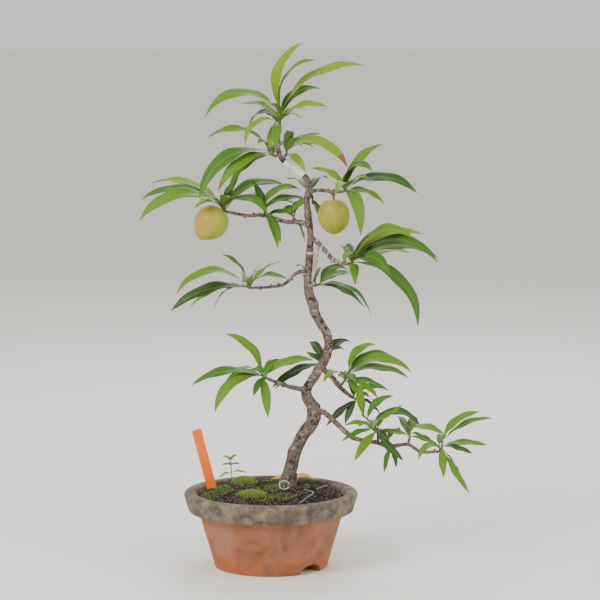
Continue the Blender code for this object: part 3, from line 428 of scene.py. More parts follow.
def aimVector(heading, rise):
    # Unit vector from a heading seen from above and a climb, in degrees.
    h, r = math.radians(heading), math.radians(rise)
    return np.array([math.cos(r) * math.cos(h), math.cos(r) * math.sin(h), math.sin(r)])


def bladeHalfWidth(s):
    # Lance shape: sin(pi u^0.8)^0.85, with u from 0 at the end of the stalk to 1 at the tip.
    u = np.clip((s - growth["petiole"]) / (1.0 - growth["petiole"]), 0.0, 1.0)
    return np.sin(np.pi * u ** 0.8) ** 0.85


def leafLines(leaf, steps):
    # Midline that climbs at rise and bends down by arch, with side and face rolled towards the viewer.
    s = np.linspace(0.0, 1.0, steps + 1)
    rise = np.radians(leaf["rise"] - leaf["arch"] * s)
    heading = np.radians(leaf["heading"] + leaf["sweep"] * s)
    flat = np.stack([np.cos(heading), np.sin(heading), np.zeros_like(s)], 1)
    level = np.array([0.0, 0.0, 1.0])
    along = np.cos(rise)[:, None] * flat + np.sin(rise)[:, None] * level
    up = np.cos(rise)[:, None] * level - np.sin(rise)[:, None] * flat
    out = np.stack([np.sin(heading), -np.cos(heading), np.zeros_like(s)], 1)
    if out[0, 1] > 0:
        out = -out
    middles = (along[1:] + along[:-1]) / 2
    points = leaf["root"] + leaf["length"] / steps * np.vstack([np.zeros(3), np.cumsum(middles, 0)])
    roll = np.radians(leaf["roll"]) * (1 - (1 - s) ** 2)
    side = np.cos(roll)[:, None] * out - np.sin(roll)[:, None] * up
    face = np.cos(roll)[:, None] * up + np.sin(roll)[:, None] * out
    return s, points, side, face


def leafTestPoints(leaf):
    # Five points across the blade at every step but the first few: its two edges, its midline and
    # the middle of each half.
    s, points, side, _ = leafLines(leaf, growth["leafSteps"])
    reach = bladeHalfWidth(s) * leaf["width"] / 2
    rows = [points + side * (reach * share)[:, None] for share in (-1.0, -0.5, 0.0, 0.5, 1.0)]
    return np.stack(rows, 1)[growth["untestedRows"]:].reshape(-1, 3)


def distances(points, others):
    # Straight distance from every point to every other.
    return np.sqrt(((points[:, None, :] - others[None, :, :]) ** 2).sum(2))


def isClear(leaf, mass, placed, limbRows, fruitRows, withOwn):
    # A leaf keeps clear of limbs, fruit and the leaves of other masses, and with withOwn of its own mass's.
    points = leafTestPoints(leaf)
    if (distances(points, limbRows[:, :3]) - limbRows[:, 3]).min() < growth["limbClearance"]:
        return False
    if (distances(points, fruitRows[:, :3]) - fruitRows[:, 3]).min() < growth["limbClearance"]:
        return False
    middle = points.mean(0)
    for otherMass, otherPoints, otherLength in placed:
        if otherMass == mass and not withOwn:
            continue
        if np.linalg.norm(otherPoints.mean(0) - middle) > leaf["length"] + otherLength:
            continue
        limit = growth["leafClearance"]
        if otherMass == mass:
            limit = growth["ownClearance"]
            otherPoints = otherPoints[growth["sharedPoints"]:]
        if distances(points, otherPoints).min() < limit:
            return False
    return True


def stemRows(start, leave, end, radius, tipRadius, steps=3):
    # A short straight foot and then a quadratic curve to the end, while the radius runs evenly.
    foot = np.array(start) + np.array(leave) * growth["stemFoot"]
    middle = foot + np.array(leave) * np.linalg.norm(end - foot) * growth["stemBend"]
    t = np.linspace(0.0, 1.0, steps + 1)[:, None]
    points = (1 - t) ** 2 * foot + 2 * t * (1 - t) * middle + t ** 2 * np.array(end)
    rows = np.hstack([points, radius + (tipRadius - radius) * t])
    return np.vstack([[(*start, radius)], rows])


def stemStart(rows, share, end):
    # A stem leaves its limb off the tip, or square to it off the side that its end is on.
    if share >= 1.0:
        tip = rows[-1]
        leave = (tip[:3] - rows[-2][:3]) / np.linalg.norm(tip[:3] - rows[-2][:3])
        return tip[:3] + leave * growth["gap"], leave, min(tip[3], growth["stemRadius"] * growth["stemSwell"])
    place = rows[round(share * (len(rows) - 1))]
    after = rows[min(round(share * (len(rows) - 1)) + 1, len(rows) - 1)]
    along = (after[:3] - place[:3]) / np.linalg.norm(after[:3] - place[:3])
    reach = np.array(end) - place[:3]
    leave = reach - along * reach.dot(along)
    leave /= np.linalg.norm(leave)
    return place[:3] + leave * (place[3] + growth["gap"]), leave, growth["stemRadius"]


def stemPoint(rows, share):
    # The point at a share of the rows, on the straight line between the two nearest.
    place = share * (len(rows) - 1)
    low = min(int(place), len(rows) - 2)
    return rows[low, :3] + (rows[low + 1, :3] - rows[low, :3]) * (place - low)


def growMasses(limbs):
    # The fans of every mass come first, then the spurs with their leaves.
    limbRows = np.vstack(list(limbs.values()))
    fruitRows = np.array([(*fruit["middle"], fruit["halfLength"]) for fruit in fruitPlan.values()])
    rng = random.Random(growth["seed"])
    placed = []
    masses = {name: {"twigs": [], "leaves": []} for name in massPlan}

    def tryLeaf(mass, leaf, withOwn):
        # Width is a fixed part and a share of the length; the first turn that is clear is kept.
        heading = leaf["heading"]
        leaf["width"] = growth["widthFixed"] + growth["widthShare"] * leaf["length"]
        leaf["width"] *= rng.uniform(*growth["widthVary"])
        for turn in growth["turns"]:
            leaf["heading"] = heading + turn
            if isClear(leaf, mass, placed, limbRows, fruitRows, withOwn):
                placed.append((mass, leafTestPoints(leaf), leaf["length"]))
                masses[mass]["leaves"].append(leaf)
                return

    for name, (limb, share, end, _, fans) in massPlan.items():
        start, leave, radius = stemStart(limbs[limb], share, end)
        stem = stemRows(start, leave, end, radius, growth["spurRadius"])
        masses[name]["twigs"].append(stem)
        total = sum(one["count"] for one in fans)
        number = 0
        for one in fans:
            for i in range(one["count"]):
                t = i / max(1, one["count"] - 1)
                size = {key: one[key][0] + (one[key][1] - one[key][0]) * t
                        for key in ("heading", "rise", "arch", "length", "roll")}
                root = stemPoint(stem, growth["stemTopShare"] - growth["stemLeafShare"] * number / total)
                number += 1
                leaf = dict(size, root=root, sweep=rng.uniform(*growth["sweepVary"]))
                leaf["heading"] += rng.uniform(*growth["headingVary"])
                leaf["roll"] += rng.uniform(*growth["rollVary"])
                tryLeaf(name, leaf, False)
    for name, (_, _, _, spurs, _) in massPlan.items():
        stem = masses[name]["twigs"][0]
        for i in range(spurs):
            heading = 90 + 180 * (i % 2) + rng.uniform(*growth["spurTurn"])
            foot = stemPoint(stem, growth["spurFrom"] + growth["spurShare"] * i / spurs)
            aim = aimVector(heading, rng.uniform(*growth["spurRise"]))
            spur = stemRows(foot, aim, foot + aim * growth["spurLength"], growth["spurRadius"],
                            growth["spurRadius"] * growth["spurTaper"], 1)
            masses[name]["twigs"].append(spur)
            for k in range(growth["spurLeaves"]):
                spread = rng.uniform(*growth["spurSpread"])
                leaf = {key: rng.uniform(*reach) for key, reach in spurLeafSizes.items()}
                leaf["heading"] = heading + (k - 0.5) * spread
                leaf["root"] = stemPoint(spur, growth["spurLeafFrom"] - growth["spurLeafStep"] * k)
                tryLeaf(name, leaf, True)
    return masses


def limbCurves(perSpan):
    # Every limb as rows of x, y, z and radius on a smooth curve; the leader starts straight off the wrap.
    limbs = {"trunk": smoothRows(trunkRows, perSpan)}
    for name, rows in {**boughRows, "dead_stub": deadStubRows}.items():
        limbs[name] = smoothRows(rows, perSpan)
    start, end = np.array(wrapPlan["start"]), np.array(wrapPlan["end"])
    along = (end - start) / np.linalg.norm(end - start)
    foot = [(*(end + along * shift), leaderPlan["startRadius"]) for shift in (0.0, leaderPlan["straight"])]
    leader = smoothRows(foot[1:] + list(leaderPlan["rows"]), round(perSpan * leaderPlan["finer"]))
    limbs["leader"] = np.vstack([foot[:1], leader])
    return limbs


def wrapRows(shares):
    # The wrap swells fast from its ends: radius by the square root of a half sine.
    start, end = np.array(wrapPlan["start"]), np.array(wrapPlan["end"])
    along = (end - start) / np.linalg.norm(end - start)
    shares = np.asarray(shares, float)
    swell = np.sqrt(np.clip(np.sin(math.pi * shares), 0.0, 1.0))
    radius = wrapPlan["endRadius"] + (wrapPlan["radius"] - wrapPlan["endRadius"]) * swell
    shift = along * growth["gap"]
    points = start + (end - start) * shares[:, None] + shift * (1 - 2 * shares)[:, None]
    return np.hstack([points, radius[:, None]])


growthLimbs = limbCurves(2)
growthLimbs["graft_wrap"] = wrapRows(wrapPlan["growthShares"])
masses = growMasses(growthLimbs)
print("grown:", sum(len(one["leaves"]) for one in masses.values()), "leaves")


# Bark.

bark = {
    "around": 44, "boughAround": 22, "perSpan": 12, "ground": 0.0885, "seed": 3, "boughSeed": 20,
    # Waves: turns round the limb, radians along each metre, height as a share of the radius.
    "waves": ((1, 90, 0.050), (2, -150, 0.045), (3, 260, 0.035), (5, 430, 0.028), (7, -690, 0.022),
              (4, 1100, 0.020), (9, 1500, 0.016), (12, -2300, 0.010)),
    "boughWaves": ((1, 300, 0.07), (2, -520, 0.06), (3, 900, 0.05), (4, -1700, 0.03)),
    "wander": 1.5, "wanderRate": 60, "ridge": 0.5,
    # Knobs: share of the length, angle in degrees, height as a share of the radius, spread in metres.
    "knobs": ((0.115, 200, 0.30, 0.007), (0.235, 250, 0.34, 0.006), (0.262, 20, 0.30, 0.005),
              (0.40, 160, 0.25, 0.006), (0.585, 230, 0.42, 0.006), (0.61, 330, 0.40, 0.005),
              (0.64, 120, 0.32, 0.006), (0.70, 200, 0.22, 0.005), (0.80, 300, 0.28, 0.005),
              (0.875, 190, 0.30, 0.004), (0.94, 10, 0.25, 0.004)),
    "knobSwing": 0.9,
    "rootLobes": 4, "rootSwell": 0.30, "rootFade": 0.010, "rootEven": 0.65, "rootWave": 0.35, "rootTurn": 0.7,
    "collarSwell": 0.35, "collarFade": 0.007,
}
buds = {"onBough": 5, "onLeader": 3, "seed": 8, "size": (0.0022, 0.0034), "sides": 8, "steps": 6,
        "sunk": 0.7, "lean": 0.8, "girth": 0.55, "swell": 0.6}


def curveLength(rows):
    # Distance from the first row to each, summed along the straight steps between them.
    steps = np.linalg.norm(np.diff(rows[:, :3], axis=0), axis=1)
    return np.concatenate([[0.0], np.cumsum(steps)])


def waveRelief(length, around, waves, seed):
    # Sum of sine waves that wind round and along the limb; each is partly folded into ridges, as one
    # less twice its absolute value.
    rng = np.random.default_rng(seed)
    angle = ringAngles(around)
    total = np.zeros((len(length), around))
    for turns, rate, amount in waves:
        phase = rng.uniform(0, math.tau)
        wander = bark["wander"] * np.sin(bark["wanderRate"] * length + phase)[:, None]
        wave = np.sin(turns * angle[None] + rate * length[:, None] + phase + wander)
        total += amount * ((1 - bark["ridge"]) * wave + bark["ridge"] * (1 - 2 * np.abs(wave)))
    return total


def knobRelief(length, around, knobs):
    # Each knob is a round bump: height times e to the minus of the distance squared, along and round.
    angle = ringAngles(around)
    total = np.zeros((len(length), around))
    for share, turn, height, spread in knobs:
        away = (length[:, None] - share * length[-1]) / spread
        swing = np.angle(np.exp(1j * (angle[None] - math.radians(turn)))) / bark["knobSwing"]
        total += height * np.exp(-away ** 2 - swing ** 2)
    return total


def budPatch(rows, place, angle, size):
    # A small bud that stands off the bark and leans towards the tip; its radius falls by a square root.
    side, up = sectionFrame(rows[:, :3])
    along = np.gradient(rows[:, :3], axis=0)[place]
    along /= np.linalg.norm(along)
    out = math.cos(angle) * side[place] + math.sin(angle) * up[place]
    t = np.linspace(0.0, 1.0, buds["steps"])[:, None]
    foot = rows[place, :3] + out * rows[place, 3] * buds["sunk"]
    points = foot + (out + buds["lean"] * along) * size * t
    radius = size * buds["girth"] * np.sqrt(1.001 - t) * (buds["swell"] + t)
    return tubePatch(np.hstack([points, radius]), buds["sides"])


barkFinish = mottledFinish("barkMottled", (
    (0.34, (0.022, 0.016, 0.015)), (0.43, (0.085, 0.055, 0.042)), (0.51, (0.200, 0.140, 0.112)),
    (0.58, (0.100, 0.066, 0.052)), (0.66, (0.360, 0.290, 0.245))), 190.0, 0.85, 700.0, 0.0006, 0.8)
twigFinish = mottledFinish("twigBark", (
    (0.35, (0.045, 0.040, 0.018)), (0.55, (0.130, 0.110, 0.050)), (0.70, (0.210, 0.165, 0.090))), 260.0, 0.75)

fine = limbCurves(bark["perSpan"])
trunkLine = fine["trunk"]
trunkLine = trunkLine[trunkLine[:, 2] > bark["ground"]]
trunkReach = curveLength(trunkLine)
trunkRelief = waveRelief(trunkReach, bark["around"], bark["waves"], bark["seed"])
trunkRelief += knobRelief(trunkReach, bark["around"], bark["knobs"])
rootLobe = bark["rootEven"] + bark["rootWave"] * np.cos(
    bark["rootLobes"] * ringAngles(bark["around"]) + bark["rootTurn"])
trunkRelief += bark["rootSwell"] * np.exp(-trunkReach / bark["rootFade"])[:, None] * rootLobe
makePiece("trunkBark", [tubePatch(trunkLine, bark["around"], trunkRelief)], [barkFinish], ["trunk"])

boughPatches = []
budRng = np.random.default_rng(buds["seed"])
for number, name in enumerate(list(boughRows) + ["leader"]):
    rows = fine[name].copy()
    reach = curveLength(rows)
    budCount = buds["onLeader"] if name == "leader" else buds["onBough"]
    if name != "leader":
        rows[:, 3] *= 1 + bark["collarSwell"] * np.exp(-reach / bark["collarFade"])
    relief = waveRelief(reach, bark["boughAround"], bark["boughWaves"], bark["boughSeed"] + number)
    boughPatches.append(tubePatch(rows, bark["boughAround"], relief))
    for place in budRng.integers(len(rows) // 3, len(rows) - 2, budCount):
        budTurn = budRng.uniform(0, math.tau)
        boughPatches.append(budPatch(rows, place, budTurn, budRng.uniform(*buds["size"])))
makePiece("boughBark", boughPatches, [barkFinish], list(boughRows) + ["leader"])

deadWood = {"around": 20, "seed": 41, "grooves": ((5, 40, 0.10), (7, -60, 0.07), (2, 400, 0.08))}
deadFinish = mottledFinish("bleachedWood", (
    (0.32, (0.190, 0.140, 0.100)), (0.50, (0.430, 0.350, 0.270)),
    (0.68, (0.620, 0.540, 0.440))), 190.0, 0.9, 600.0)
stub = fine["dead_stub"]
stubRelief = waveRelief(curveLength(stub), deadWood["around"], deadWood["grooves"], deadWood["seed"])
makePiece("deadStubWood", [tubePatch(stub, deadWood["around"], stubRelief)], [deadFinish],
          ["dead_stub"])

# The wrap is tape that winds round: each turn stands up and runs down over the last, as a saw-tooth.
tape = {"around": 32, "steps": 90, "turns": 6.5, "stand": 0.055, "sunk": 0.03}
wrapFinish = mottledFinish("graftWrap", (
    (0.35, (0.60, 0.585, 0.53)), (0.55, (0.80, 0.79, 0.745)),
    (0.75, (0.90, 0.90, 0.87))), 120.0, 0.55, 500.0, 0.0004)
wrapShares = np.linspace(0.0, 1.0, tape["steps"])
wrapTurn = np.arange(tape["around"]) / tape["around"]
wrapFold = np.mod(wrapShares[:, None] * tape["turns"] + wrapTurn[None], 1.0)
wrapPatch = tubePatch(wrapRows(wrapShares), tape["around"], tape["stand"] * wrapFold - tape["sunk"])
makePiece("graftWrapTape", [wrapPatch], [wrapFinish], ["graft_wrap"])
print("limbs made")


# Wires.

wires = {
    "radius": 0.0012, "around": 10, "perSpan": 8, "lift": 0.0006,
    "tie_wire_front": ((0.034, -0.070), (0.044, -0.047), (0.051, -0.021), (0.040, -0.003)),
    "tie_wire_back": ((0.055, 0.000), (0.063, 0.022), (0.068, 0.046), (0.067, 0.056)),
}
fineWires = {"radius": 0.0008, "around": 8}
trunkRing = {"height": 0.3775, "radius": 0.0058, "turns": 1.25, "start": -2.0, "pitch": 0.0016, "steps": 60}
boughWind = {"turns": 3.0, "from": 0.2, "to": 0.62, "loose": 1.08, "perSpan": 3}
footLoop = {"middle": (0.0160, 0.0040), "lift": 0.0062, "halfWidth": 0.0062, "halfHeight": 0.0052,
            "closed": 0.93, "radius": 0.0007, "steps": 40}
soilShape = {"level": 0.0907, "plateau": 0.050, "shoulder": ((0.068, 0.0892), (0.080, 0.0864)),
             "wall": 0.0840, "gap": 0.0004}
potShape = {
    "height": 0.091, "rim": 0.105, "bandHeight": 0.0235,
    "bandFoot": 0.100, "bandRound": 0.003, "bandStep": 0.0015, "rimWidth": 0.015, "rimRound": 0.0045,
    "shoulder": 0.0875, "base": 0.0685, "baseRound": 0.0015,
    "floor": 0.016, "floorRadius": 0.054, "floorRound": 0.006,
    "notchHalf": 0.017, "notchHeight": 0.011, "notchInner": 0.030,
    "notches": (-45.0, 165.0, 60.0), "notchPast": 0.010,
    "drain": 0.007, "drainAt": 0.040, "drainDepth": 0.04, "drainMiddle": 0.012,
    "around": 168, "wallRows": 40, "bandRows": 12, "flatRadii": (0.002, 0.020, 0.040), "underReach": 0.060,
    "cutAround": 48, "sharpAngle": 38,
}


def wallRadius(height):
    # The pot's straight inner wall: its radius grows evenly with height, from floor corner to rim.
    low = (potShape["floorRadius"] + potShape["floorRound"], potShape["floor"] + potShape["floorRound"])
    high = (potShape["rim"] - potShape["rimWidth"], potShape["height"] - potShape["rimRound"])
    return low[0] + (high[0] - low[0]) * (height - low[1]) / (high[1] - low[1])


soilRim = wallRadius(soilShape["wall"]) - soilShape["gap"]


def soilHeight(x, y):
    # Level in the middle, then falling to the wall, evenly between the heights at a few radii.
    radii = [0.0, soilShape["plateau"]] + [r for r, _ in soilShape["shoulder"]] + [soilRim]
    heights = [soilShape["level"]] * 2 + [z for _, z in soilShape["shoulder"]] + [soilShape["wall"]]
    return np.interp(np.hypot(x, y), radii, heights)


def camelName(name):
    # The piece's name from the node's: tie_wire_front becomes tieWireFront.
    first, *others = name.split("_")
    return first + "".join(word.title() for word in others)


wireFinish = plainFinish("dullWire", (0.13, 0.15, 0.18), 0.5, 0.3)
paleWireFinish = plainFinish("paleWire", (0.62, 0.60, 0.55), 0.5, 0.2)
for name in ("tie_wire_front", "tie_wire_back"):
    rows = [(x, y, float(soilHeight(x, y)) + wires["radius"] + wires["lift"], wires["radius"])
            for x, y in wires[name]]
    wirePatch = tubePatch(smoothRows(rows, wires["perSpan"]), wires["around"])
    makePiece(camelName(name), [wirePatch], [wireFinish], [name])

# A ring that climbs a little round the trunk.
ringTurn = np.linspace(0.0, trunkRing["turns"] * math.tau, trunkRing["steps"])
x, y, z = trunkLine[np.argmin(np.abs(trunkLine[:, 2] - trunkRing["height"])), :3]
ring = np.stack([x + trunkRing["radius"] * np.cos(ringTurn + trunkRing["start"]),
                 y + trunkRing["radius"] * np.sin(ringTurn + trunkRing["start"]),
                 z + trunkRing["pitch"] * ringTurn / math.tau,
                 np.full_like(ringTurn, fineWires["radius"])], 1)
# Turns wound on a bough, just clear of its bark.
host = fine["bough_right_mid"]
host = host[int(boughWind["from"] * len(host)):int(boughWind["to"] * len(host))]
hostSide, hostUp = sectionFrame(host[:, :3])
windTurn = np.linspace(0.0, boughWind["turns"] * math.tau, len(host))[:, None]
windReach = (host[:, 3:4] + fineWires["radius"]) * boughWind["loose"]
wind = host[:, :3] + windReach * (np.cos(windTurn) * hostSide + np.sin(windTurn) * hostUp)
wind = smoothRows(np.hstack([wind, np.full((len(wind), 1), fineWires["radius"])]), boughWind["perSpan"])
# A loop that stands on the soil in front of the trunk, nearly closed.
loopTurn = np.linspace(0.0, math.tau * footLoop["closed"], footLoop["steps"])
loop = np.stack([footLoop["middle"][0] + footLoop["halfWidth"] * np.cos(loopTurn),
                 np.full_like(loopTurn, footLoop["middle"][1]),
                 soilShape["level"] + footLoop["lift"] + footLoop["halfHeight"] * np.sin(loopTurn),
                 np.full_like(loopTurn, footLoop["radius"])], 1)
finePatches = [tubePatch(rows, fineWires["around"]) for rows in (ring, wind, loop)]
makePiece("fineWire", finePatches, [paleWireFinish], [])
print("wires made")


# Pot.

def cornerArc(centre, radius, start, end, steps):
    # Points on an arc: the centre plus the radius times cosine and sine of even angles in degrees.
    angle = np.radians(np.linspace(start, end, steps + 1))
    return [(centre[0] + radius * math.cos(a), centre[1] + radius * math.sin(a)) for a in angle]


def potProfile():
    # From the underside's middle out, up the wall, over the rim and down inside to the floor.
    p = potShape
    foot = p["height"] - p["bandHeight"]
    corner = p["floor"] + p["floorRound"]
    step, turnIn = p["bandStep"], p["bandRound"]
    wallRun = foot - p["baseRound"] - step
    bandRun = p["bandHeight"] - turnIn - p["rimRound"]
    straight = [(p["base"] + (p["shoulder"] - p["base"]) * t, p["baseRound"] + wallRun * t)
                for t in np.linspace(0.02, 0.98, p["wallRows"])]
    band = [(p["bandFoot"] + (p["rim"] - p["bandFoot"]) * t, foot + turnIn + bandRun * t)
            for t in np.linspace(0.05, 0.95, p["bandRows"])]
    rows = [(radius, 0.0) for radius in (*p["flatRadii"], p["underReach"])]
    rows += cornerArc((p["base"] - p["baseRound"], p["baseRound"]), p["baseRound"], -90, 0, 4)
    rows += straight + [(p["shoulder"], foot - step), (p["shoulder"] + step, foot)]
    rows += cornerArc((p["bandFoot"] - turnIn, foot + turnIn), turnIn, -90, 0, 5) + band
    rows += cornerArc((p["rim"] - p["rimRound"], p["height"] - p["rimRound"]), p["rimRound"], 0, 90, 8)
    rows += cornerArc((p["rim"] - p["rimWidth"] + p["rimRound"], p["height"] - p["rimRound"]),
                      p["rimRound"], 90, 180, 6)
    rows += cornerArc((p["floorRadius"], corner), p["floorRound"], 0, -90, 5)
    return rows + [(radius, p["floor"]) for radius in p["flatRadii"][::-1]]


potWear = {"from": 0.003, "to": 0.0655, "outside": 0.0675, "ring": 0.00010, "ringRate": 1500, "ringTilt": 1.2,
           "wander": 0.00014, "wanderTurns": 3, "wanderRate": 120, "inset": 0.00012}


def potRipple(profile, around):
    # Throwing rings and a slow wander, a tenth of a millimetre or two, on the outer wall only: the
    # rings are a sine of the height, tilted a little; the wander is a sine round times a sine up.
    profile = np.asarray(profile)
    angle = ringAngles(around)
    radius, height = profile[:, :1], profile[:, 1:]
    wall = (radius > potWear["outside"]) & (height > potWear["from"]) & (height < potWear["to"])
    rings = potWear["ring"] * np.sin(height * potWear["ringRate"] + potWear["ringTilt"] * np.sin(angle)[None])
    swing = np.sin(potWear["wanderTurns"] * angle + 1.0)[None]
    wander = potWear["wander"] * swing * np.sin(height * potWear["wanderRate"])
    return np.where(wall, rings + wander, 0.0) - potWear["inset"] * wall


clayHeights = {"footGlow": (0.030, 0.002), "rimBand": (0.0640, 0.0685)}


def potClay():
    # Orange-brown body, brighter near the foot; grey-brown rim band with yellow-green lichen; dark stain.
    finish, tree, shader = startFinish("weatheredClay", 0.92)
    place = tree.nodes.new("ShaderNodeTexCoord")
    split = tree.nodes.new("ShaderNodeSeparateXYZ")
    tree.links.new(place.outputs["Object"], split.inputs["Vector"])

    def rampOfHeight(low, high):
        # Share that runs evenly from 0 at the first height to 1 at the second.
        band = tree.nodes.new("ShaderNodeMapRange")
        band.inputs["From Min"].default_value = low
        band.inputs["From Max"].default_value = high
        tree.links.new(split.outputs["Z"], band.inputs["Value"])
        return band.outputs["Result"]

    body = addRamp(tree, addNoise(tree, 26.0, 10.0, 0.4), (
        (0.30, (0.180, 0.068, 0.034)), (0.45, (0.300, 0.112, 0.056)), (0.58, (0.370, 0.145, 0.076)),
        (0.72, (0.330, 0.150, 0.090))))
    foot = addRamp(tree, addNoise(tree, 60.0), (
        (0.35, (0.370, 0.100, 0.034)), (0.65, (0.460, 0.135, 0.050))))
    body = addMix(tree, rampOfHeight(*clayHeights["footGlow"]), body, foot)
    rim = addRamp(tree, addNoise(tree, 75.0, 12.0, 0.6), (
        (0.30, (0.070, 0.055, 0.042)), (0.46, (0.130, 0.104, 0.078)), (0.56, (0.185, 0.150, 0.110)),
        (0.66, (0.225, 0.205, 0.100)), (0.74, (0.300, 0.190, 0.120))))
    body = addMix(tree, rampOfHeight(*clayHeights["rimBand"]), body, rim)
    stainShare = addRamp(tree, addNoise(tree, 14.0, 8.0, 1.0), (
        (0.52, (0.0, 0.0, 0.0)), (0.66, (0.45, 0.45, 0.45))))
    stain = addRamp(tree, addNoise(tree, 90.0), ((0.4, (0.060, 0.042, 0.030)), (0.7, (0.130, 0.080, 0.055))))
    tree.links.new(addMix(tree, stainShare, body, stain), shader.inputs["Base Color"])
    addBump(tree, shader, addNoise(tree, 420.0, 8.0), 0.55, 0.0006)
    return finish


potRows = potProfile()
potPatch = turnedPatch(potRows, potShape["around"], potRipple(potRows, potShape["around"]))
potPiece = makePiece("clayPot", [potPatch], [potClay()], ["pot"])


def cutRound(name, radius, depth, flatten, turn, place):
    # A closed cylinder, squeezed across by flatten, turned and placed, that a Boolean takes off the pot.
    rows = np.array([(0, 0, -depth / 2, radius), (0, 0, 0, radius), (0, 0, depth / 2, radius)])
    points, faces, _ = tubePatch(rows, potShape["cutAround"])
    mesh = bpy.data.meshes.new(name)
    mesh.from_pydata(points.tolist(), [], faces.tolist())
    mesh.transform(Matrix.Translation(place) @ turn @ Matrix.Diagonal((flatten, 1.0, 1.0, 1.0)))
    cutter = bpy.data.objects.new(name, mesh)
    bpy.context.scene.collection.objects.link(cutter)
    modifier = potPiece.modifiers.new(name, "BOOLEAN")
    modifier.operation = "DIFFERENCE"
    modifier.solver = "EXACT"
    modifier.object = cutter
    return cutter


cutters = []
notchLength = potShape["base"] + potShape["notchPast"] - potShape["notchInner"]
for number, heading in enumerate(potShape["notches"]):
    out = Vector(aimVector(heading, 0))
    swing = Matrix.Rotation(math.radians(heading), 4, "Z") @ Matrix.Rotation(math.pi / 2, 4, "Y")
    cutters.append(cutRound(f"notch{number}", potShape["notchHalf"], notchLength,
                            potShape["notchHeight"] / potShape["notchHalf"], swing,
                            out * (potShape["notchInner"] + notchLength / 2)))
    drainPlace = out * potShape["drainAt"] + Vector((0.0, 0.0, potShape["drainMiddle"]))
    cutters.append(cutRound(f"drain{number}", potShape["drain"], potShape["drainDepth"], 1.0,
                            Matrix.Identity(4), drainPlace))
bpy.context.view_layer.update()
cutMesh = bpy.data.meshes.new_from_object(potPiece.evaluated_get(bpy.context.evaluated_depsgraph_get()))
potPiece.modifiers.clear()
potPiece.data = cutMesh
for cutter in cutters:
    bpy.data.objects.remove(cutter, do_unlink=True)
cutMesh.set_sharp_from_angle(angle=math.radians(potShape["sharpAngle"]))
print("pot made")


# Soil, moss and what lies on them.

ground = {
    "around": 150, "rings": 60, "middle": (0.001, 0.003), "sunk": 0.0006, "underside": 0.004,
    "ripple": 0.00042, "rippleFade": 0.006,
    "rippleWaves": ((210, 60, 0.0, 1.0), (-130, 240, 1.0, 1.0), (420, 310, 0.0, 0.7)),
    "grains": 2300, "grainSize": (0.0006, 0.0019), "lumps": 26, "lumpSize": (0.0022, 0.0038), "seed": 5,
    "grainReach": soilRim - 0.002, "lumpReach": 0.070, "unlike": (0.6, 1.3), "proud": 0.15, "lean": 0.8,
}
# Moss: x and y of its middle, its half-widths and its height.
mossPlan = {
    "moss_front": (-0.023, -0.026, 0.021, 0.024, 0.0055),
    "moss_left": (-0.057, 0.002, 0.012, 0.024, 0.0060),
    "moss_back": (-0.034, 0.052, 0.018, 0.017, 0.0090),
}
# Tufts of a cushion: their count, their height and the finishes that they are dealt from.
mossLooks = {
    "moss_front": {"tufts": 2600, "height": 0.0024, "slots": (0, 0, 1)},
    "moss_left": {"tufts": 1700, "height": 0.0024, "slots": (2, 2, 1)},
    "moss_back": {"tufts": 2000, "height": 0.0030, "slots": (1, 0, 1)},
}


def crossingWaves(x, y, waves):
    # Sum of sine waves over the soil, each its size times the sine of its rates times x and y plus its phase.
    return sum(size * np.sin(rateX * x + rateY * y + phase) for rateX, rateY, phase, size in waves)


def soilPatch():
    # A disc on a polar grid: a flat underside out to the wall, then the top back in to the middle; the
    # ripple fades out towards the wall.
    angle = ringAngles(ground["around"])
    inner, second = ground["middle"]
    radius = np.concatenate([[inner], np.linspace(second, soilRim, ground["rings"])])
    x, y = radius[:, None] * np.cos(angle), radius[:, None] * np.sin(angle)
    fade = np.clip((soilRim - radius) / ground["rippleFade"], 0.0, 1.0)[:, None]
    ripple = ground["ripple"] * crossingWaves(x, y, ground["rippleWaves"])
    top = np.stack([x, y, soilHeight(x, y) - ground["sunk"] + fade * ripple], -1)
    low = np.stack([x, y, np.full_like(x, soilShape["wall"] - ground["underside"])], -1)
    return ringPatch(np.vstack([low, top[::-1]]))


# Shapes that are set many times: a lump with nine corners and a three-sided spike.
grainShape = (np.array([(1, 0, 0), (0, 1, 0), (-1, 0, 0), (0, -1, 0), (0.5, 0.5, 0.8), (-0.6, 0.3, 0.9),
                        (0, -0.6, 0.8), (0.4, -0.3, -0.7), (-0.3, 0.4, -0.8)], float),
              np.array([(0, 1, 4), (1, 5, 4), (1, 2, 5), (2, 6, 5), (2, 3, 6), (3, 0, 6), (0, 4, 6),
                        (4, 5, 6), (1, 0, 7), (0, 3, 7), (3, 2, 7), (2, 8, 7), (2, 1, 8), (1, 7, 8)]))
tuftShape = (np.array([(0.30, 0, -0.4), (-0.15, 0.26, -0.4), (-0.15, -0.26, -0.4), (0.10, 0.05, 1.0)], float),
             np.array([(0, 1, 3), (1, 2, 3), (2, 0, 3), (2, 1, 0)]))


def discPlaces(rng, count, reach):
    # Places by chance over a disc: the radius goes by a square root, so they lie evenly.
    radius, angle = reach * np.sqrt(rng.uniform(0, 1, count)), rng.uniform(0, math.tau, count)
    return radius * np.cos(angle), radius * np.sin(angle)


def grainPatch(count, sizes, seed, slotCount, reach):
    # Grains by chance over the soil, each wider or narrower along each of its own directions.
    rng = np.random.default_rng(seed)
    x, y = discPlaces(rng, count, reach)
    size = rng.uniform(*sizes, (count, 1)) * rng.uniform(*ground["unlike"], (count, 3))
    places = np.stack([x, y, soilHeight(x, y) + size[:, 2] * ground["proud"]], 1)
    return scatterPatch(places, size, grainShape, seed + 1, rng.integers(0, slotCount, count), ground["lean"])


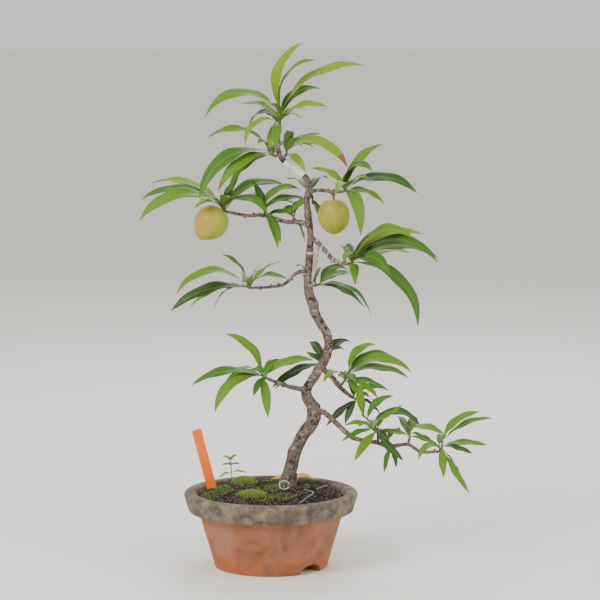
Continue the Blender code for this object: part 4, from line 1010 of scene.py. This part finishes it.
soilFinishes = [
    mottledFinish("soilDark", (
        (0.35, (0.014, 0.010, 0.008)), (0.65, (0.062, 0.043, 0.032))), 300.0, 1.0, 900.0),
    plainFinish("soilBrown", (0.075, 0.048, 0.032), 1.0),
    plainFinish("soilGrey", (0.110, 0.092, 0.078), 1.0),
    plainFinish("soilBlack", (0.016, 0.012, 0.010), 1.0),
    plainFinish("soilRed", (0.170, 0.058, 0.035), 1.0),
]
grainSlots, lumpSlots = 4, 5  # only the lumps are dealt the reddish finish, which is last
grains = grainPatch(ground["grains"], ground["grainSize"], ground["seed"], grainSlots, ground["grainReach"])
lumps = grainPatch(ground["lumps"], ground["lumpSize"], ground["seed"] + 20, lumpSlots, ground["lumpReach"])
makePiece("soilBed", [soilPatch(), grains, lumps], soilFinishes, ["soil"])

mossFinishes = [
    plainFinish("mossYellow", (0.190, 0.230, 0.030), 1.0),
    plainFinish("mossLight", (0.250, 0.300, 0.080), 1.0),
    plainFinish("mossDeep", (0.045, 0.095, 0.018), 1.0),
    plainFinish("mossShade", (0.040, 0.050, 0.012), 1.0),
]
# The darkest moss finish is painted shade: it colours the dome under the tufts.
paintedShadeSlot = 3
cushion = {
    "sink": 0.003, "around": 60, "rise": (2, 89), "rings": 24, "reach": 0.94, "proud": 0.0022,
    "waves": ((5, 0.06), (9, 0.04)), "seed": 60,
    "tuftReach": 0.93, "tuftProud": 0.0020, "tuftEdge": 0.98, "tuftVary": (0.45, 1.0), "tuftWidth": 0.42,
    "tuftLean": 0.7, "tuftSeed": 70,
}


def domePatch(x, y, halfX, halfY, height, number):
    # Half an ellipsoid on a grid of rise and turn, whose outline wobbles by two sine waves. It is all dealt
    # the darkest moss finish, painted shade under the tufts.
    rise = np.radians(np.linspace(*cushion["rise"], cushion["rings"]))
    angle = ringAngles(cushion["around"])
    (slow, slowSize), (fast, fastSize) = cushion["waves"]
    wobble = 1 + slowSize * np.sin(slow * angle + number) + fastSize * np.sin(fast * angle + 2)
    wobble *= cushion["reach"]
    top = float(soilHeight(x, y)) - cushion["sink"] + (height + cushion["proud"]) * np.sin(rise)
    dome = np.stack([x + halfX * np.outer(np.cos(rise), np.cos(angle) * wobble),
                     y + halfY * np.outer(np.cos(rise), np.sin(angle) * wobble),
                     np.repeat(top[:, None], cushion["around"], 1)], -1)
    points, faces, marks = ringPatch(dome)
    return points, faces, np.full_like(marks, paintedShadeSlot)


def cushionTufts(x, y, halfX, halfY, height, number, look):
    # Tufts by chance over the dome, at the height of an ellipsoid there and never under the soil.
    rng = np.random.default_rng(cushion["seed"] + number)
    across, along = discPlaces(rng, look["tufts"], 1.0)
    tuftX, tuftY = x + halfX * cushion["tuftReach"] * across, y + halfY * cushion["tuftReach"] * along
    crown = np.sqrt(1 - cushion["tuftEdge"] ** 2 * (across ** 2 + along ** 2))
    base = float(soilHeight(x, y)) - cushion["sink"]
    tuftZ = np.maximum(base + (height + cushion["tuftProud"]) * crown, soilHeight(tuftX, tuftY))
    slim = np.array([[cushion["tuftWidth"], cushion["tuftWidth"], 1.0]])
    sizes = look["height"] * rng.uniform(*cushion["tuftVary"], (look["tufts"], 1)) * slim
    tones = np.array(look["slots"])[rng.integers(0, len(look["slots"]), look["tufts"])]
    places = np.stack([tuftX, tuftY, tuftZ], 1)
    return scatterPatch(places, sizes, tuftShape, cushion["tuftSeed"] + number, tones, cushion["tuftLean"])


for number, (name, shape) in enumerate(mossPlan.items()):
    patches = [domePatch(*shape, number), cushionTufts(*shape, number, mossLooks[name])]
    makePiece(camelName(name), patches, mossFinishes, [name])

strayMoss = {"count": 9000, "reach": 0.084, "seed": 90, "height": (0.0012, 0.0030), "width": 0.45,
             "proud": 0.25, "lean": 0.8, "waves": ((75, 0, 1.0, 1.0), (-45, 95, 0.0, 1.0)),
             "least": 0.25, "thinFrom": 0.010, "thinning": 18}


def strayMossPatch():
    # Tufts by chance over the soil, kept where two crossing waves add up to more than a least value, so
    # that they stand in patches; the least value climbs towards the right, where they are few.
    rng = np.random.default_rng(strayMoss["seed"])
    x, y = discPlaces(rng, strayMoss["count"], strayMoss["reach"])
    least = strayMoss["least"] + strayMoss["thinning"] * np.clip(x - strayMoss["thinFrom"], 0.0, 1.0)
    kept = crossingWaves(x, y, strayMoss["waves"]) > least
    x, y = x[kept], y[kept]
    slim = np.array([[strayMoss["width"], strayMoss["width"], 1.0]])
    sizes = rng.uniform(*strayMoss["height"], (len(x), 1)) * slim
    places = np.stack([x, y, soilHeight(x, y) + sizes[:, 2] * strayMoss["proud"]], 1)
    tones = rng.integers(0, len(mossFinishes), len(x))
    return scatterPatch(places, sizes, tuftShape, strayMoss["seed"] + 1, tones, strayMoss["lean"])


makePiece("mossStray", [strayMossPatch()], mossFinishes, [])
print("soil and moss made")


# Label: a plain strip with rounded top corners.

label = {"width": 0.012, "thickness": 0.0012, "length": 0.080,
         "sink": 0.004, "foot": (-0.0725, 0.036), "lean": 14.5, "corner": 0.0022,
         "around": 24, "rows": 24, "cornerRows": 8, "bow": 0.0005, "flatness": 0.25, "edgeRound": 0.5}


def labelPatch():
    # A flat ring carried up the strip; at the top its width shrinks by a quarter circle. The ring is a
    # circle squared off by powers of its cosine and sine, and the strip bows by half a sine.
    corner = label["corner"]
    cornerTurn = np.linspace(0.1, 1.0, label["cornerRows"]) * math.pi / 2
    rows = np.concatenate([np.linspace(0.0, label["length"] - corner, label["rows"]),
                           label["length"] - corner * (1 - np.sin(cornerTurn))])
    over = np.clip((rows - label["length"] + corner) / corner, 0.0, 1.0)
    half = label["width"] / 2 - corner * (1 - np.sqrt(1 - over ** 2))
    angle = ringAngles(label["around"])
    across = np.sign(np.cos(angle)) * np.abs(np.cos(angle)) ** label["flatness"]
    deep = np.sign(np.sin(angle)) * np.abs(np.sin(angle)) ** label["edgeRound"]
    bow = label["bow"] * np.sin(math.pi * rows / label["length"])
    x = half[:, None] * across[None]
    y = label["thickness"] / 2 * deep[None] - bow[:, None]
    points = np.stack([x, y, np.repeat((rows - label["sink"])[:, None], label["around"], 1)], -1)
    lean = math.radians(-label["lean"])
    turned = np.stack([points[..., 0] * math.cos(lean) + points[..., 2] * math.sin(lean), points[..., 1],
                       -points[..., 0] * math.sin(lean) + points[..., 2] * math.cos(lean)], -1)
    x, y = label["foot"]
    return ringPatch(turned + np.array([x, y, float(soilHeight(x, y))]))


labelFinish = mottledFinish("orangeLabel", (
    (0.3, (0.90, 0.130, 0.004)), (0.7, (1.0, 0.175, 0.008))), 60.0, 0.42)
makePiece("plantLabel", [labelPatch()], [labelFinish], ["label"])


# Leaves.

blade = {
    "steps": 48, "across": (-1.0, -0.70, -0.38, -0.05, 0.05, 0.38, 0.70, 1.0), "fold": 0.17, "wave": 0.13,
    "waves": 2.3, "teeth": 0.035, "thickness": 0.00017, "stalkThickness": 0.0006, "thinEdge": 0.6, "seed": 17,
    # Shares of the length: the stalk, the stretch in which the blade opens, and the one in which it closes.
    "stalk": 0.10, "opening": 0.12, "closing": 0.05,
}
# Leaf colours and roughness. The brightest green is painted sunlight and the two darkest greens are painted
# shade, dealt to the masses by where they stand; the others are the leaves' own colours.
leafColours = {
    "leafSun": ((0.165, 0.275, 0.008), 0.55), "leafFresh": ((0.098, 0.215, 0.008), 0.55),
    "leafMid": ((0.050, 0.145, 0.008), 0.55), "leafDeepShade": ((0.026, 0.085, 0.008), 0.55),
    "leafShade": ((0.016, 0.050, 0.008), 0.55), "leafRib": ((0.150, 0.250, 0.030), 0.6),
    "leafBack": ((0.095, 0.175, 0.028), 0.7), "leafBrown": ((0.200, 0.095, 0.030), 0.7),
    "leafOld": ((0.640, 0.310, 0.060), 0.6),
}
leafFinishes = [plainFinish(name, *look) for name, look in leafColours.items()]
ribSlot, backSlot, brownSlot, oldSlot = 5, 6, 7, 8
# Finishes that a mass deals its leaves from; the masses near the top have the brightest, painted sunlight,
# and the inner and back masses the darkest, painted shade.
massTones = {
    "foliage_apex": (0, 1, 0, 2), "foliage_apex_left": (1, 0, 2, 1), "foliage_apex_right": (0, 1, 2),
    "foliage_left_upper": (1, 2, 0, 2), "foliage_left_upper_inner": (1, 2, 3),
    "foliage_left_upper_spur": (1, 2),
    "foliage_right_top": (0, 1, 2, 3), "foliage_trunk_top": (3, 2), "foliage_right_mid": (1, 0, 2, 2),
    "foliage_right_spur": (2, 1, 2), "foliage_left_mid": (1, 2, 1, 3), "foliage_left_low": (1, 2, 1, 2),
    "foliage_trunk_back": (4, 3, 4), "foliage_right_back": (1, 2, 1), "foliage_right_back_tip": (4, 3, 3),
    "foliage_low_inner": (1, 2, 1, 3), "foliage_low_mid": (1, 2, 1), "foliage_low_hanging": (2, 3, 1),
    "foliage_low_tip": (1, 2, 1, 2),
}
# Leaves with a brown tip: the mass, the leaf's number in it and the share of its length where brown starts.
brownTips = {("foliage_apex_left", 3): 0.86, ("foliage_apex_right", 0): 0.80, ("foliage_left_upper", 2): 0.84,
             ("foliage_low_tip", 4): 0.85, ("foliage_low_hanging", 0): 0.82, ("foliage_right_mid", 8): 0.88}


def leafPatch(leaf, tone, rng, brownFrom=1.0):
    # A flat closed ring carried down the midline: v runs over the face from -1 to 1 and back below.
    # Point = midline + side v half-width + face (fold |v| half-width + wave v squared + half thickness).
    s, middle, side, face = leafLines(leaf, blade["steps"])
    across = np.array(blade["across"])
    v = np.concatenate([across, across[::-1]])
    above = np.repeat([1.0, -1.0], len(across))
    edge = (np.abs(v) == 1.0).astype(float)
    half = np.maximum(bladeHalfWidth(s) * leaf["width"] / 2, growth["petioleRadius"])
    opened = np.clip((s - blade["stalk"]) / blade["opening"], 0.0, 1.0)
    opened *= np.clip((1.0 - s) / blade["closing"], 0.0, 1.0)
    teeth = blade["teeth"] * np.where(np.arange(len(s)) % 2 == 0, 1.0, -1.0) * opened
    width = half[:, None] * (1 + edge[None] * teeth[:, None])
    phase = rng.uniform(0, math.tau, 2)
    ripple = np.sin(math.tau * blade["waves"] * s[:, None] + np.where(v > 0, phase[0], phase[1])[None])
    wave = blade["wave"] * half[:, None] * v[None] ** 2 * ripple * opened[:, None]
    fold = blade["fold"] * half[:, None] * np.abs(v)[None] * opened[:, None]
    stalk = np.clip(1 - s / blade["stalk"], 0.0, 1.0)
    thick = blade["thickness"] + (blade["stalkThickness"] - blade["thickness"]) * stalk
    lift = fold + wave + thick[:, None] * (above * (1 - blade["thinEdge"] * edge))[None]
    rings = middle[:, None] + side[:, None] * (width * v)[..., None] + face[:, None] * lift[..., None]
    facing = [tone] * 3 + [ribSlot] + [tone] * 4
    columns = np.array(facing + [backSlot] * 3 + [ribSlot] + [backSlot] * 3 + [tone])
    flip = np.dot(np.cross(side[0], face[0]), middle[1] - middle[0]) > 0
    points, faces, marks = ringPatch(rings, columns, flip)
    walls = np.repeat(s[:-1], 2 * len(v))
    late = np.concatenate([walls > brownFrom, np.zeros(2 * len(v), bool)])
    return points, faces, np.where(late, brownSlot, marks)


fruitForm = {
    "down": 56, "around": 72, "poleGap": 0.02, "seamDepth": 0.045, "seamTurn": 4.2, "seamWidth": 0.16,
    "dimpleDepth": 0.20, "dimpleWidth": 0.38, "beakPower": 12,
    "roughness": 0.5, "sheen": 0.1, "lightSide": (-0.7, -0.5, 0.35), "blushFrom": 0.05, "blushRate": 1.1,
    "stalkEnd": 0.7,
}


def fruitPatch(plan):
    # A round form on a grid of angle down from the tip and angle round. A seam and the dimple at the stalk
    # are sunk by e to the minus of the distance squared; the beak grows by a power of the cosine.
    form = fruitForm
    down = np.linspace(form["poleGap"], math.pi - form["poleGap"], form["down"])
    turn = ringAngles(form["around"])
    fromSeam = np.angle(np.exp(1j * (turn - form["seamTurn"]))) / form["seamWidth"]
    seam = 1 - form["seamDepth"] * np.exp(-fromSeam ** 2)
    radius = plan["halfWidth"] * np.outer(np.sin(down), seam)
    dimple = 1 - form["dimpleDepth"] * np.exp(-((math.pi - down) / form["dimpleWidth"]) ** 2)
    reach = plan["halfLength"] * np.cos(down) * np.where(down > math.pi / 2, dimple, 1.0)
    reach = reach + plan["beak"] * np.clip(np.cos(down), 0.0, 1.0) ** form["beakPower"]
    height = np.repeat(reach[:, None], form["around"], 1)
    upright = np.stack([radius * np.cos(turn), radius * np.sin(turn), height], -1)
    aim = np.array(Vector(plan["point"]).normalized().to_track_quat("Z", "Y").to_matrix())
    rings = upright @ aim.T + np.array(plan["middle"])
    return ringPatch(rings[::-1])


def blushShares(points, plan):
    # How far a point lies towards the light side, from nothing near the middle up to the fruit's own blush.
    lightSide = np.array(fruitForm["lightSide"]) / np.linalg.norm(fruitForm["lightSide"])
    lean = (points - np.array(plan["middle"])) @ lightSide / plan["halfWidth"]
    return np.clip((lean - fruitForm["blushFrom"]) * fruitForm["blushRate"], 0.0, 1.0) * plan["blush"]


def stalkRows(stem, plan):
    # From a point on the stem, straight on into the fruit's dimple.
    foot = stemPoint(stem, growth["stalkShare"])
    point = np.array(plan["point"]) / np.linalg.norm(plan["point"])
    inside = np.array(plan["middle"]) - point * plan["halfLength"] * fruitForm["stalkEnd"]
    leave = (inside - foot) / np.linalg.norm(inside - foot)
    return stemRows(foot, leave, inside, growth["stalkRadius"], growth["stalkRadius"], 4)


def fruitSkin():
    # Yellow-green that runs to an orange-red blush where the shade attribute is high.
    finish, tree, shader = startFinish("fruitSkin", fruitForm["roughness"])
    shader.inputs["Sheen Weight"].default_value = fruitForm["sheen"]
    shade = tree.nodes.new("ShaderNodeAttribute")
    shade.attribute_name = "shade"
    skin = addRamp(tree, addNoise(tree, 90.0, 8.0), (
        (0.35, (0.240, 0.280, 0.012)), (0.55, (0.320, 0.320, 0.016)), (0.70, (0.390, 0.320, 0.030))))
    blush = addRamp(tree, addNoise(tree, 170.0, 8.0), (
        (0.4, (0.520, 0.150, 0.045)), (0.65, (0.620, 0.240, 0.060))))
    tree.links.new(addMix(tree, shade.outputs["Fac"], skin, blush), shader.inputs["Base Color"])
    return finish


twigForm = {"around": 12, "perSpan": 5, "waves": ((1, 700, 0.08), (2, -1300, 0.06))}
fruitFinish = fruitSkin()
leafRng = np.random.default_rng(blade["seed"])
twigPatches = []
for name, one in masses.items():
    leaves = []
    for i, leaf in enumerate(one["leaves"]):
        tone = massTones[name][i % len(massTones[name])]
        leaves.append(leafPatch(leaf, tone, leafRng, brownTips.get((name, i), 1.0)))
    if leaves:
        makePiece(camelName(name.replace("foliage", "leaves")), leaves, leafFinishes, [name])
    for twig in one["twigs"]:
        rows = smoothRows(twig, twigForm["perSpan"])
        relief = waveRelief(curveLength(rows), twigForm["around"], twigForm["waves"], len(twigPatches))
        twigPatches.append(tubePatch(rows, twigForm["around"], relief))
    if name in fruitPlan:
        plan = fruitPlan[name]
        patch = fruitPatch(plan)
        makePiece(camelName(name.replace("foliage", "fruit")), [patch], [fruitFinish], [name],
                  blushShares(patch[0], plan))
        twigPatches.append(tubePatch(stalkRows(one["twigs"][0], plan), twigForm["around"]))
makePiece("twigs", twigPatches, [twigFinish], list(masses))
print("leaves and fruit made")


# A seedling and litter on the soil.

fallen = {"root": np.array([0.058, 0.058, soilShape["level"] + 0.003]), "heading": 168, "rise": 14,
          "arch": 28, "length": 0.060, "width": 0.016, "roll": 12, "sweep": 20}
makePiece("fallenLeaf", [leafPatch(fallen, oldSlot, leafRng)], leafFinishes, ["fallen_leaf"])

# Seedling: each whorl has its share of the stem, and the heading, rise, arch and length of its leaves.
seedling = {
    "stem": ((-0.049, 0.055, 0.096), (-0.0495, 0.055, 0.108), (-0.051, 0.055, 0.119)), "radius": 0.0006,
    "perSpan": 5, "around": 8, "stemSlot": 1, "leaf": {"width": 0.0054, "roll": 20, "sweep": 5},
    "whorls": (
        (0.30, ((185, 5, 60, 0.017), (-5, 25, 55, 0.019))),
        (0.97, ((160, 55, 60, 0.012), (20, 60, 50, 0.012), (90, 40, 60, 0.012), (270, 40, 60, 0.012))),
        (0.70, ((215, 30, 50, 0.014), (325, 35, 50, 0.014), (130, 20, 50, 0.013), (50, 20, 50, 0.013)))),
}
seedStem = np.array([(*place, seedling["radius"]) for place in seedling["stem"]])
seedRows = smoothRows(seedStem, seedling["perSpan"])
seedPatches = [tubePatch(seedRows, seedling["around"], slot=seedling["stemSlot"])]
for share, whorl in seedling["whorls"]:
    for number, sizes in enumerate(whorl):
        leaf = dict(zip(("heading", "rise", "arch", "length"), sizes), **seedling["leaf"])
        leaf["root"] = stemPoint(seedStem, share)
        seedPatches.append(leafPatch(leaf, number % 2, leafRng))
makePiece("seedlingPlant", seedPatches, leafFinishes, [])
print("litter made")


# Floor, light and camera. The camera stands where the photograph was taken from.

view = {"place": (0.03508, -2.94686, 0.65314), "down": 6.393, "lens": 148.32, "sensor": 36.0}
# Lamps: place, watts and width.
lamps = {"key": ((-1.3, -1.7, 2.0), 60.0, 1.4), "fill": ((1.9, -1.5, 1.3), 24.0, 1.6),
         "back": ((0.3, 1.7, 1.9), 26.0, 1.2)}
room = {"colour": (0.90, 0.88, 0.84), "strength": 0.92, "floorReach": 60.0, "floorHeight": -0.0004,
        "floorRoughness": 0.9, "lampAim": (0.03, 0.0, 0.30)}
floorCorners = [(x * room["floorReach"], y * room["floorReach"], room["floorHeight"])
                for x, y in ((-1, -1), (1, -1), (1, 1), (-1, 1))]
floorMesh = bpy.data.meshes.new("floor")
floorMesh.from_pydata(floorCorners, [], [(0, 1, 2, 3)])
floorMesh.materials.append(plainFinish("paleFloor", room["colour"], room["floorRoughness"]))
floor = bpy.data.objects.new("floor", floorMesh)
bpy.context.scene.collection.objects.link(floor)

world = bpy.data.worlds.new("paleRoom")
world.use_nodes = True
world.node_tree.nodes["Background"].inputs["Color"].default_value = (*room["colour"], 1.0)
world.node_tree.nodes["Background"].inputs["Strength"].default_value = room["strength"]
bpy.context.scene.world = world
for name, (place, power, size) in lamps.items():
    lamp = bpy.data.lights.new(name + "Light", "AREA")
    lamp.energy = power
    lamp.size = size
    lampObject = bpy.data.objects.new(name + "Light", lamp)
    lampObject.location = place
    aim = Vector(room["lampAim"]) - Vector(place)
    lampObject.rotation_euler = aim.to_track_quat("-Z", "Y").to_euler()
    bpy.context.scene.collection.objects.link(lampObject)

lens = bpy.data.cameras.new("photoView")
lens.lens = view["lens"]
lens.sensor_width = view["sensor"]
eye = bpy.data.objects.new("photoView", lens)
eye.location = view["place"]
eye.rotation_euler = (math.radians(90 - view["down"]), 0.0, 0.0)
bpy.context.scene.collection.objects.link(eye)
bpy.context.scene.camera = eye
